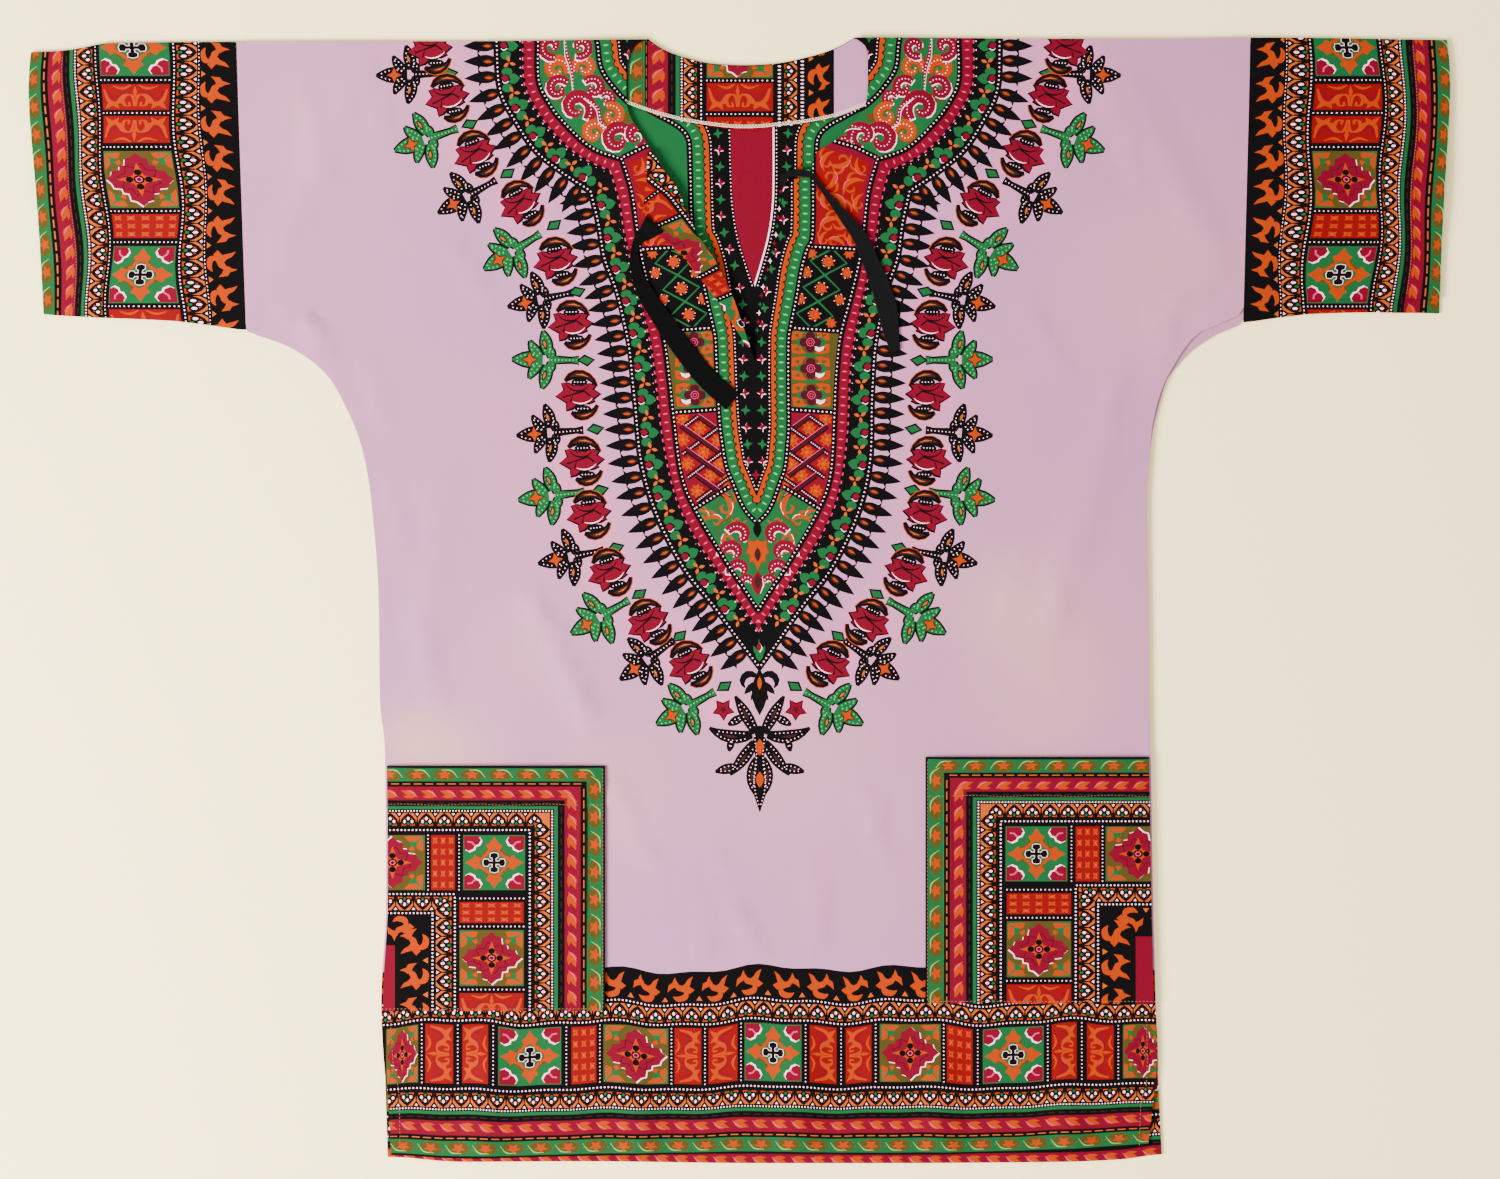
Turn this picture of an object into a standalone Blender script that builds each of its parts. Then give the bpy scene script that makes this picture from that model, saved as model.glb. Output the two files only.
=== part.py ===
"""A dashiki shirt laid flat on its back, face up, with its printed cloth as thin walls.

Lengths in the tables and constants below are millimetres in the garment's own frame: the
origin is the middle of the laid-out shirt at the surface under it, X runs to the wearer's
left sleeve (right as seen), Y runs up to the shoulders and Z runs up from the surface.
The meshes are built in metres.
"""

import math

import bmesh
import bpy
from mathutils import Vector
from mathutils.bvhtree import BVHTree

MM = 0.001

# Cloth and layers
WALL = 1.2
TRIM_WALL = 1.0
GAP = 0.3
LAID_GAP = 0.45
FACING_LIFT = TRIM_WALL + GAP
NECK_EDGE_TOP = 2 * WALL + GAP + FACING_LIFT

# Rows of the body panels, as zones of height: from, to, number of steps
FRONT_ROWS = (
    (-450, -330, 5),
    (-330, -130, 6),
    (-130, 85, 6),
    (85, 191, 6),
    (191, 232, 4),
    (232, 334, 5),
    (334, 340, 1),
    (340, 396, 3),
    (396, 450, 4),
)
BACK_ROWS = (
    (-450, -360, 3),
    (-360, 80, 6),
    (80, 200, 6),
    (200, 232, 4),
    (232, 396, 3),
    (396, 450, 3),
)
HALF_COLUMNS = 13
BACK_SIDE_COLUMNS = 8
BACK_NECK_COLUMNS = 10

# Heights past which rows bend to meet the hem line and the shoulder line
HEM_BEND = -380
SHOULDER_BEND = 396

# Sides of the back panel: height, left edge, right edge
BACK_SIDES = (
    (-450, -281, 338),
    (-416, -280, 335),
    (-368, -284, 335),
    (-320, -286, 333),
    (-240, -282, 331),
    (-120, -283, 329),
    (-80, -287, 328),
    (0, -288, 327),
    (80, -294, 326),
    (112, -299, 328),
    (136, -306, 331),
    (160, -317, 337),
    (176, -326, 342),
    (192, -342, 354),
    (200, -355, 362),
    (208, -371, 374),
    (216, -394, 388),
    (222, -394.2, 403),
    (232, -394.5, 403.3),
    (240, -394.8, 403.5),
    (450, -402, 409),
)

# Sides of the front panel: height, left edge, right edge
FRONT_SIDES = (
    (-450, -278, 327),
    (-400, -279, 329),
    (-388, -280, 333),
    (-368, -284, 334),
    (-320, -286, 333),
    (-240, -282, 331),
    (-120, -283, 329),
    (-80, -287, 328),
    (0, -288, 327),
    (80, -294, 326),
    (112, -299, 328),
    (136, -306, 330),
    (160, -317, 335),
    (176, -326, 341),
    (192, -342, 350),
    (200, -355, 355),
    (208, -371, 361),
    (216, -394, 371),
    (226, -394.3, 396),
    (232, -394.5, 403.3),
    (240, -394.8, 403.5),
    (450, -402, 409),
)

# Hem and shoulder lines: distance across, back hem, front hem, shoulder
ENDS = (
    (-402, -445, -442, 446.5),
    (-280, -445, -443, 447),
    (-223, -449, -446, 447),
    (-127, -448.5, -444, 448),
    (17, -450, -442, 449),
    (113, -450, -443, 450),
    (257, -449, -440, 449),
    (305, -447, -437, 449),
    (338, -443, -435, 449),
    (409, -443, -435, 450),
)

# Back neckline: distance across, height of the scooped edge
BACK_NECK = (
    (-74, 450),
    (-61, 441),
    (-46, 435),
    (-19, 429),
    (4, 428),
    (26, 429),
    (57, 435),
    (78, 442),
    (92, 450),
)

# Front neckline and slit: height, left edge, right edge
FRONT_NECK = (
    (191, 13, 13),
    (212, 5, 15.5),
    (222, 2, 16.5),
    (243, -5, 19),
    (264, -15, 24),
    (278, -22, 28),
    (294, -34, 31),
    (314, -43, 33.5),
    (330, -50, 35),
    (334, -52, 36),
    (340, -57, 57),
    (357, -68, 61),
    (369, -76, 79),
    (390, -88, 97),
    (400, -90, 102),
    (419, -90, 103),
    (435, -88, 103),
    (443, -83, 101),
    (450, -74, 92),
)
SLIT_FOOT = 191

# Soft folds: start across, start height, end across, end height, half width, rise
FOLDS = (
    (-169, 8, -117, -104, 20, 1.8),
    (-351, 214, -312, 140, 20, 1.8),
    (-378, 250, -300, 425, 24, 1.5),
    (392, 255, 300, 432, 24, 1.6),
    (300, 150, 242, -40, 24, 1.5),
    (-232, 128, -252, -60, 24, 1.4),
    (66, 60, 30, -110, 26, 1.3),
    (128, 420, 190, 318, 24, 1.1),
    (-205, -460, -196, -345, 26, 2.4),
    (-78, -460, -84, -362, 24, 2.0),
    (44, -460, 52, -338, 28, 2.6),
    (164, -460, 158, -356, 24, 2.1),
    (268, -460, 262, -368, 22, 1.8),
)
FOLD_EDGE = 26

# Cuffs, from the sleeve seam to the open end: distance across at the top edge and at the
# bottom edge, height of the bottom edge, height of the top edge, rise of the face
CUFF_LEFT = (
    (-402.5, -394.5, 216.5, 446.5, 0.0),
    (-425, -420, 220, 446.5, 0.8),
    (-452, -450, 223.5, 446.3, 1.6),
    (-480, -480, 225, 446, 1.2),
    (-508, -508, 226, 445.5, 0.6),
    (-528, -527, 227, 441, 1.4),
    (-547, -543, 228, 439, 2.0),
    (-566, -556, 229, 438.5, 1.2),
)
CUFF_RIGHT = (
    (409.4, 403.5, 222.5, 450, 0.0),
    (432, 428, 226, 450, 0.9),
    (456, 454, 229, 449.8, 1.5),
    (482, 481, 230, 449.5, 0.7),
    (508, 508, 230.5, 449, 1.3),
    (528, 526, 230, 448.6, 1.8),
    (547, 542, 230, 448.4, 1.0),
    (566, 560, 229.5, 448, 1.6),
)
CUFF_END_BOW = 3.6
CUFF_SECTION_STEPS = 10

# Back neck facing: distance across, height of its lower edge
FACING_FOOT = (
    (-104, 402),
    (-88, 396),
    (-65, 388),
    (-35, 381),
    (4, 377),
    (42, 380),
    (72, 385),
    (100, 395),
    (117, 402),
)

# Slit facing turned out over the left front: edge at the slit across and height,
# outer edge across and height
FLAP = (
    (-70, 360, -73, 357),
    (-61, 345, -74, 331),
    (-50, 330, -76, 312),
    (-42, 312, -68, 296),
    (-34, 294, -57, 286),
    (-26, 282, -43, 272),
    (-17, 268, -30, 256),
    (-5, 243, -14, 235),
    (3, 220, -4, 219),
    (9, 202, 6, 203),
)

# Facing folded under along the right edge of the slit
UNDER_FACING_TOP = 331
UNDER_FACING_FOOT = 212
UNDER_FACING_SHOWS = 3
UNDER_FACING_HIDDEN = 9

# Ribbon ties: distance across, height, width
TIE_LEFT = (
    (-67, 301, 19),
    (-74, 294, 13),
    (-81, 287, 7),
    (-84, 276, 6),
    (-81, 260, 10),
    (-73.5, 243.5, 13.5),
    (-62, 226, 15.5),
    (-46, 203, 16.5),
    (-26, 178, 17),
    (-5, 159, 17),
)
TIE_RIGHT = (
    (35, 331, 5),
    (36.5, 338.5, 5),
    (46, 341.5, 5.5),
    (57, 340, 5),
    (62.5, 334, 3.5),
    (72, 322, 5),
    (85.5, 305, 9),
    (97, 290, 12),
    (105.5, 270.5, 13.5),
    (113, 252, 15.5),
    (118.5, 233.5, 16.5),
    (121.5, 215.5, 13),
    (125, 199.5, 8),
)

# Patch pockets: inner edge across, lower edge, upper edge, side of the shirt it joins
POCKETS = (
    ("pocket_left", -107, -328, -132, -1),
    ("pocket_right", 149, -322, -125, 1),
)
POCKET_SEAM_INSET = 1.5
POCKET_MOUTH_RISE = 1.2
POCKET_STEPS = 10

# Steps and small sizes of the walls
ROWS_LOW = -450
ROWS_HIGH = 450
LIFT_FULL = 24
LIFT_FADE = 45
LIFT_FADE_BELOW = 20
FOLD_RUN_OUT = 0.15
FOLD_RUN_IN = 0.45
EDGE_ROUND = 1
CUFF_RIPPLE = 0.35
CUFF_WAVES = 11
FACING_ROWS = 3
FACING_COLUMNS = 18
FACING_TOP_INSET = 0.8
UNDER_FACING_ROWS = 10
FLAP_COLUMNS = 3
FLAP_REACH = 5
RIBBON_STEPS = 2
RIBBON_REACH = 4
POCKET_MOUTH_DEPTH = 45
POCKET_MOUTH_SPAN = 2500
RAY_TOP = 100
SHARP_ANGLE = 40


def clear_scene():
    for thing in list(bpy.data.objects):
        bpy.data.objects.remove(thing, do_unlink=True)


def cloth_material(name, colour, roughness):
    material = bpy.data.materials.new(name)
    material.use_nodes = True
    shader = material.node_tree.nodes["Principled BSDF"]
    shader.inputs["Base Color"].default_value = (*colour, 1.0)
    shader.inputs["Roughness"].default_value = roughness
    shader.inputs["Metallic"].default_value = 0.0
    return material


def eased(t):
    t = min(1.0, max(0.0, t))
    return t * t * (3 - 2 * t)


def along(table, key, column):
    """Value of a column at a key between the table's rows, on a curve with no overshoot."""
    if key <= table[0][0]:
        return table[0][column]
    if key >= table[-1][0]:
        return table[-1][column]
    i = max(n for n in range(len(table) - 1) if table[n][0] <= key)
    slopes = []
    for n in range(i - 1, i + 2):
        n = min(max(n, 0), len(table) - 2)
        slopes.append((table[n + 1][column] - table[n][column]) / (table[n + 1][0] - table[n][0]))

    def joined(a, b):
        return 0.0 if a * b <= 0 else 2 * a * b / (a + b)

    start = joined(slopes[0], slopes[1]) if i > 0 else slopes[1]
    end = joined(slopes[1], slopes[2]) if i < len(table) - 2 else slopes[1]
    width = table[i + 1][0] - table[i][0]
    t = (key - table[i][0]) / width
    return (
        (2 * t**3 - 3 * t**2 + 1) * table[i][column]
        + (t**3 - 2 * t**2 + t) * width * start
        + (3 * t**2 - 2 * t**3) * table[i + 1][column]
        + (t**3 - t**2) * width * end
    )


def row_heights(zones):
    heights = [zones[0][0]]
    for low, high, steps in zones:
        heights += [low + (high - low) * (n + 1) / steps for n in range(steps)]
    return heights


def between(a, b, steps):
    return [a + (b - a) * n / steps for n in range(steps + 1)]


def back_shoulder(x):
    if BACK_NECK[0][0] <= x <= BACK_NECK[-1][0]:
        return along(BACK_NECK, x, 1)
    return along(ENDS, x, 3)


def front_shoulder(x):
    return along(ENDS, x, 3)


def bent(x, y, hem, shoulder):
    """A row's height at x, where the rows near the hem and the shoulder follow those edges."""
    if y < HEM_BEND:
        return HEM_BEND + (y - HEM_BEND) * (hem - HEM_BEND) / (ROWS_LOW - HEM_BEND)
    if y > SHOULDER_BEND:
        return SHOULDER_BEND + (y - SHOULDER_BEND) * (shoulder - SHOULDER_BEND) / (ROWS_HIGH - SHOULDER_BEND)
    return y


def neck_lift(x, y):
    """How far the front stands off the back round the neck, where facings lie under it."""
    if y <= SLIT_FOOT - LIFT_FADE_BELOW:
        return 0.0
    level = max(y, SLIT_FOOT)
    left = along(FRONT_NECK, level, 1)
    right = along(FRONT_NECK, level, 2)
    distance = max(left - x, x - right, 0.0)
    fade = 1 - eased((distance - LIFT_FULL) / LIFT_FADE)
    rise = eased((y - SLIT_FOOT + LIFT_FADE_BELOW) / LIFT_FADE_BELOW)
    return FACING_LIFT * fade * rise


def fold_rise(x, y):
    """Height of the soft folds, which die out at the side seams and the shoulders."""
    rise = 0.0
    for x0, y0, x1, y1, half_width, height in FOLDS:
        run = Vector((x1 - x0, y1 - y0))
        place = Vector((x - x0, y - y0))
        t = place.dot(run) / run.length_squared
        across = abs(place.x * run.y - place.y * run.x) / run.length
        ends = eased((t + FOLD_RUN_OUT) / FOLD_RUN_IN) * eased((1 + FOLD_RUN_OUT - t) / FOLD_RUN_IN)
        rise += height * ends * (1 - eased(across / half_width))
    inside = min(
        x - along(FRONT_SIDES, y, 1),
        along(FRONT_SIDES, y, 2) - x,
        front_shoulder(x) - y,
    )
    return rise * eased(inside / FOLD_EDGE)


def front_underside(x, y):
    return WALL + GAP + neck_lift(x, y) + fold_rise(x, y)


def wall_object(name, points, quads, lower, wall, material):
    """A closed wall over a net of quads, from heights of its underside at each point."""
    mesh = bmesh.new()
    upper_verts = []
    lower_verts = []
    for (x, y), z in zip(points, lower):
        upper_verts.append(mesh.verts.new((x * MM, y * MM, (z + wall) * MM)))
        lower_verts.append(mesh.verts.new((x * MM, y * MM, z * MM)))
    uses = {}
    for quad in quads:
        mesh.faces.new([upper_verts[i] for i in quad])
        mesh.faces.new([lower_verts[i] for i in reversed(quad)])
        for a, b in zip(quad, quad[1:] + quad[:1]):
            uses.setdefault((min(a, b), max(a, b)), []).append((a, b))
    for edges in uses.values():
        if len(edges) == 1:
            a, b = edges[0]
            mesh.faces.new([upper_verts[b], upper_verts[a], lower_verts[a], lower_verts[b]])
    return finished(name, mesh, material)


def finished(name, mesh, material):
    data = bpy.data.meshes.new(name)
    bmesh.ops.recalc_face_normals(mesh, faces=mesh.faces)
    mesh.to_mesh(data)
    mesh.free()
    data.materials.append(material)
    data.shade_smooth()
    data.set_sharp_from_angle(angle=math.radians(SHARP_ANGLE))
    thing = bpy.data.objects.new(name, data)
    bpy.context.scene.collection.objects.link(thing)
    return thing


def net(columns, rows):
    """Quads of a net numbered along each row, rows from bottom to top."""
    quads = []
    for j in range(rows):
        for i in range(columns):
            a = j * (columns + 1) + i
            b = a + columns + 1
            quads.append([a, a + 1, b + 1, b])
    return quads


def back_panel(material):
    heights = row_heights(BACK_ROWS)
    points = []
    for y in heights:
        left = along(BACK_SIDES, y, 1)
        right = along(BACK_SIDES, y, 2)
        across = between(left, BACK_NECK[0][0], BACK_SIDE_COLUMNS)
        across += between(BACK_NECK[0][0], BACK_NECK[-1][0], BACK_NECK_COLUMNS)[1:]
        across += between(BACK_NECK[-1][0], right, BACK_SIDE_COLUMNS)[1:]
        points += [(x, bent(x, y, along(ENDS, x, 1), back_shoulder(x))) for x in across]
    columns = 2 * BACK_SIDE_COLUMNS + BACK_NECK_COLUMNS
    quads = net(columns, len(heights) - 1)
    return wall_object("back_panel", points, quads, [0.0] * len(points), WALL, material)


def front_net():
    """Points and quads of the front, whose halves part at the foot of the slit."""
    points = []
    rows = []
    for y in row_heights(FRONT_ROWS):
        level = max(y, SLIT_FOOT)
        left = between(along(FRONT_SIDES, y, 1), along(FRONT_NECK, level, 1), HALF_COLUMNS)
        right = between(along(FRONT_NECK, level, 2), along(FRONT_SIDES, y, 2), HALF_COLUMNS)
        parted = y > SLIT_FOOT
        across = left + (right if parted else right[1:])
        first = len(points)
        points += [(x, bent(x, y, along(ENDS, x, 2), front_shoulder(x))) for x in across]
        left_row = list(range(first, first + HALF_COLUMNS + 1))
        start = left_row[-1] + 1 if parted else left_row[-1]
        rows.append((left_row, list(range(start, start + HALF_COLUMNS + 1))))
    quads = []
    for below, above in zip(rows, rows[1:]):
        for side in (0, 1):
            for i in range(HALF_COLUMNS):
                quads.append([below[side][i], below[side][i + 1], above[side][i + 1], above[side][i]])
    return points, quads


def upper_face(points, quads, lower, wall):
    """The upper face of a wall, to find how high a piece on it lies."""
    places = [Vector((x, y, z + wall)) for (x, y), z in zip(points, lower)]
    return BVHTree.FromPolygons(places, quads)


def laid_height(faces, x, y, reach):
    """Height that clears every given face within reach of a point."""
    heights = []
    for dx in (-reach, 0, reach):
        for dy in (-reach, 0, reach):
            for face in faces:
                hit = face.ray_cast(Vector((x + dx, y + dy, RAY_TOP)), Vector((0, 0, -1)))
                if hit[0] is not None:
                    heights.append(hit[0].z)
    return max(heights, default=NECK_EDGE_TOP) + LAID_GAP


def cuff(name, table, side, material):
    """A flattened tube: rings of an outer and an inner loop from the seam to the open end."""
    mesh = bmesh.new()
    steps = CUFF_SECTION_STEPS
    rings = []
    for n, (x_top, x_bottom, y_bottom, y_top, rise) in enumerate(table):
        bow = side * CUFF_END_BOW if n == len(table) - 1 else 0
        outer = []
        inner = []

        def place(y, z):
            s = (y - y_bottom) / (y_top - y_bottom)
            x = x_bottom + (x_top - x_bottom) * s + bow * math.sin(math.pi * min(1, max(0, s)) ** 3)
            return mesh.verts.new((x * MM, y * MM, z * MM))

        def face_rise(y):
            s = (y - y_bottom) / (y_top - y_bottom)
            return rise * math.sin(math.pi * min(1, max(0, s))) ** 2 * (1 + CUFF_RIPPLE * math.sin(CUFF_WAVES * s + n))

        middle = WALL + GAP / 2
        full = 2 * WALL + GAP
        for y in between(y_bottom + EDGE_ROUND, y_top - EDGE_ROUND, steps):
            outer.append(place(y, 0))
        outer.append(place(y_top, middle))
        for y in between(y_top - EDGE_ROUND, y_bottom + EDGE_ROUND, steps):
            outer.append(place(y, full + face_rise(y)))
        outer.append(place(y_bottom, middle))
        inset = WALL + EDGE_ROUND
        for y in between(y_bottom + inset, y_top - inset, steps):
            inner.append(place(y, WALL))
        inner.append(place(y_top - WALL, middle))
        for y in between(y_top - inset, y_bottom + inset, steps):
            inner.append(place(y, WALL + GAP + face_rise(y)))
        inner.append(place(y_bottom + WALL, middle))
        rings.append((outer, inner))
    count = len(rings[0][0])
    for (outer_a, inner_a), (outer_b, inner_b) in zip(rings, rings[1:]):
        for i in range(count):
            k = (i + 1) % count
            mesh.faces.new([outer_a[i], outer_a[k], outer_b[k], outer_b[i]])
            mesh.faces.new([inner_a[i], inner_b[i], inner_b[k], inner_a[k]])
    for outer, inner in (rings[0], rings[-1]):
        for i in range(count):
            k = (i + 1) % count
            mesh.faces.new([outer[i], inner[i], inner[k], outer[k]])
    return finished(name, mesh, material)


def neck_facing(material):
    points = []
    for row in range(FACING_ROWS + 1):
        for x in between(FACING_FOOT[0][0], FACING_FOOT[-1][0], FACING_COLUMNS):
            foot = along(FACING_FOOT, x, 1)
            head = back_shoulder(x) - FACING_TOP_INSET
            points.append((x, foot + (head - foot) * row / FACING_ROWS))
    quads = net(FACING_COLUMNS, FACING_ROWS)
    lower = [WALL + GAP] * len(points)
    return wall_object("neck_facing", points, quads, lower, TRIM_WALL, material)


def under_facing(material):
    points = []
    for y in between(UNDER_FACING_FOOT, UNDER_FACING_TOP, UNDER_FACING_ROWS):
        edge = along(FRONT_NECK, y, 2)
        points.append((edge - UNDER_FACING_SHOWS, y))
        points.append((edge + UNDER_FACING_HIDDEN, y))
    quads = net(1, UNDER_FACING_ROWS)
    lower = [WALL + GAP] * len(points)
    return wall_object("slit_facing_right", points, quads, lower, TRIM_WALL, material)


def flap(front_face, material):
    """The left slit facing, turned out and lying on the front."""
    points = []
    for inner_x, inner_y, outer_x, outer_y in reversed(FLAP):
        for t in between(0, 1, FLAP_COLUMNS):
            points.append((outer_x + (inner_x - outer_x) * t, outer_y + (inner_y - outer_y) * t))
    quads = net(FLAP_COLUMNS, len(FLAP) - 1)
    lower = [laid_height([front_face], x, y, FLAP_REACH) for x, y in points]
    thing = wall_object("slit_facing_left", points, quads, lower, TRIM_WALL, material)
    return thing, upper_face(points, quads, lower, TRIM_WALL)


def route_through(table, steps):
    """A smooth route through a ribbon's table, with its width."""
    rows = [Vector(row) for row in table]
    rows = [2 * rows[0] - rows[1]] + rows + [2 * rows[-1] - rows[-2]]
    route = []
    for a, b, c, d in zip(rows, rows[1:], rows[2:], rows[3:]):
        for n in range(steps):
            t = n / steps
            route.append(0.5 * (2 * b + (c - a) * t + (2 * a - 5 * b + 4 * c - d) * t**2 + (3 * b - a - 3 * c + d) * t**3))
    return route + [rows[-2]]


def ribbon(name, table, faces, material):
    route = route_through(table, RIBBON_STEPS)
    points = []
    for n, (x, y, width) in enumerate(route):
        ahead = route[min(n + 1, len(route) - 1)]
        behind = route[max(n - 1, 0)]
        run = Vector((ahead[0] - behind[0], ahead[1] - behind[1])).normalized()
        for side in (-0.5, 0, 0.5):
            points.append((x + run.y * width * side, y - run.x * width * side))
    quads = net(2, len(route) - 1)
    lower = [laid_height(faces, x, y, RIBBON_REACH) for x, y in points]
    return wall_object(name, points, quads, lower, TRIM_WALL, material)


def pocket(name, inner_x, low, high, side, front_face, material):
    points = []
    for row, y in enumerate(between(low, high, POCKET_STEPS)):
        outer_x = along(FRONT_SIDES, y, 1 if side < 0 else 2) - side * POCKET_SEAM_INSET
        ends = sorted((inner_x, outer_x))
        points += [(x, y) for x in between(ends[0], ends[1], POCKET_STEPS)]
    quads = net(POCKET_STEPS, POCKET_STEPS)
    lower = []
    for x, y in points:
        sides = abs(x - inner_x) * abs(x - along(FRONT_SIDES, y, 1 if side < 0 else 2))
        gape = POCKET_MOUTH_RISE * eased((y - high) / POCKET_MOUTH_DEPTH + 1) * eased(sides / POCKET_MOUTH_SPAN)
        reach = (high - low) / POCKET_STEPS / 2
        lower.append(laid_height([front_face], x, y, reach) + gape)
    return wall_object(name, points, quads, lower, WALL, material)


def build():
    clear_scene()
    ground = cloth_material("lilac_print_cotton", (0.60, 0.45, 0.55), 0.85)
    border = cloth_material("border_print_cotton", (0.42, 0.08, 0.07), 0.85)
    green = cloth_material("yoke_print_cotton", (0.06, 0.12, 0.06), 0.85)
    velvet = cloth_material("black_velvet_ribbon", (0.008, 0.008, 0.008), 0.6)
    matte = cloth_material("black_cotton_ribbon", (0.014, 0.013, 0.013), 0.9)

    back_panel(ground)
    points, quads = front_net()
    lower = [front_underside(x, y) for x, y in points]
    wall_object("front_panel", points, quads, lower, WALL, ground)
    front_face = upper_face(points, quads, lower, WALL)

    cuff("cuff_left", CUFF_LEFT, -1, border)
    cuff("cuff_right", CUFF_RIGHT, 1, border)
    neck_facing(border)
    under_facing(green)
    flap_face = flap(front_face, border)[1]
    ribbon("tie_left", TIE_LEFT, [front_face, flap_face], velvet)
    ribbon("tie_right", TIE_RIGHT, [front_face], matte)
    for name, inner_x, low, high, side in POCKETS:
        pocket(name, inner_x, low, high, side, front_face, border)


build()
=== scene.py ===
"""Looks of a dashiki shirt laid flat: thin cotton walls whose print is inlaid in the faces.

Every printed shape is drawn by the functions below in painter's order, in millimetres of the
garment's own frame, and then cut into the mesh of its panel, so that each face has one ink.
"""

import math

import bmesh
import bpy
import numpy as np
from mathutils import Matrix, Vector
from mathutils.bvhtree import BVHTree
from mathutils.geometry import delaunay_2d_cdt


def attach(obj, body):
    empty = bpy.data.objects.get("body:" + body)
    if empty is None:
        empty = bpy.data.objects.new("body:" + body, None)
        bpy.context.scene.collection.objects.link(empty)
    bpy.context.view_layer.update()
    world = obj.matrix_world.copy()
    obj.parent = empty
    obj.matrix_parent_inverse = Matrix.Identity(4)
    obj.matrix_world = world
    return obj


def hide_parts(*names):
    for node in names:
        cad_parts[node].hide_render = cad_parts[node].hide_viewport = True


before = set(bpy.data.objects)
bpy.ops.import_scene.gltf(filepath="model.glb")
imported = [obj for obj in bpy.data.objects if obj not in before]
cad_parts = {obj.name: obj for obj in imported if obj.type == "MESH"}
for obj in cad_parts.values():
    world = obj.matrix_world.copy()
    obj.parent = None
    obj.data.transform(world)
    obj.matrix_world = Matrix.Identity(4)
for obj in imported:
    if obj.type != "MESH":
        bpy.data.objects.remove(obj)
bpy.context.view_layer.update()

MM = 0.001

# Cloth and layers, as the solids have them
WALL = 1.2
TRIM_WALL = 1.0
GAP = 0.3
LAID_GAP = 0.45
FACING_LIFT = TRIM_WALL + GAP
SLIT_FOOT = 191

# Spacing of the points that carry a wall's form, on its face and on a coarser hidden side
FRONT_NET = 9.2
FRONT_HIDDEN_NET = 16
BACK_NET = 14
CUFF_NET = 9
CUFF_HIDDEN_NET = 10
CUFF_UNDER_NET = 12
POCKET_NET = 8
POCKET_HIDDEN_NET = 12
FACING_NET = 8
SLIT_FACING_NET = 5

# Sides of the back panel: height, left edge, right edge
BACK_SIDES = (
    (-450, -281, 338),
    (-416, -280, 335),
    (-368, -284, 335),
    (-320, -286, 333),
    (-240, -282, 331),
    (-120, -283, 329),
    (-80, -287, 328),
    (0, -288, 327),
    (80, -294, 326),
    (112, -299, 328),
    (136, -306, 331),
    (160, -317, 337),
    (176, -326, 342),
    (192, -342, 354),
    (200, -355, 362),
    (208, -371, 374),
    (216, -394, 388),
    (222, -394.2, 403),
    (232, -394.5, 403.3),
    (240, -394.8, 403.5),
    (450, -402, 409),
)

# Sides of the front panel: height, left edge, right edge
FRONT_SIDES = (
    (-450, -278, 327),
    (-400, -279, 329),
    (-388, -280, 333),
    (-368, -284, 334),
    (-320, -286, 333),
    (-240, -282, 331),
    (-120, -283, 329),
    (-80, -287, 328),
    (0, -288, 327),
    (80, -294, 326),
    (112, -299, 328),
    (136, -306, 330),
    (160, -317, 335),
    (176, -326, 341),
    (192, -342, 350),
    (200, -355, 355),
    (208, -371, 361),
    (216, -394, 371),
    (226, -394.3, 396),
    (232, -394.5, 403.3),
    (240, -394.8, 403.5),
    (450, -402, 409),
)

# Hem and shoulder lines: distance across, back hem, front hem, shoulder
ENDS = (
    (-402, -445, -442, 446.5),
    (-280, -445, -443, 447),
    (-223, -449, -446, 447),
    (-127, -448.5, -444, 448),
    (17, -450, -442, 449),
    (113, -450, -443, 450),
    (257, -449, -440, 449),
    (305, -447, -437, 449),
    (338, -443, -435, 449),
    (409, -443, -435, 450),
)

# Back neckline: distance across, height of the scooped edge
BACK_NECK = (
    (-74, 450),
    (-61, 441),
    (-46, 435),
    (-19, 429),
    (4, 428),
    (26, 429),
    (57, 435),
    (78, 442),
    (92, 450),
)

# Front neckline and slit: height, left edge, right edge
FRONT_NECK = (
    (191, 13, 13),
    (212, 5, 15.5),
    (222, 2, 16.5),
    (243, -5, 19),
    (264, -15, 24),
    (278, -22, 28),
    (294, -34, 31),
    (314, -43, 33.5),
    (330, -50, 35),
    (334, -52, 36),
    (340, -57, 57),
    (357, -68, 61),
    (369, -76, 79),
    (390, -88, 97),
    (400, -90, 102),
    (419, -90, 103),
    (435, -88, 103),
    (443, -83, 101),
    (450, -74, 92),
)

# Soft folds of the solids: start across, start height, end across, end height, half width, rise
FOLDS = (
    (-169, 8, -117, -104, 20, 1.8),
    (-351, 214, -312, 140, 20, 1.8),
    (-378, 250, -300, 425, 24, 1.5),
    (392, 255, 300, 432, 24, 1.6),
    (300, 150, 242, -40, 24, 1.5),
    (-232, 128, -252, -60, 24, 1.4),
    (66, 60, 30, -110, 26, 1.3),
    (128, 420, 190, 318, 24, 1.1),
    (-205, -460, -196, -345, 26, 2.4),
    (-78, -460, -84, -362, 24, 2.0),
    (44, -460, 52, -338, 28, 2.6),
    (164, -460, 158, -356, 24, 2.1),
    (268, -460, 262, -368, 22, 1.8),
)

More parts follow.
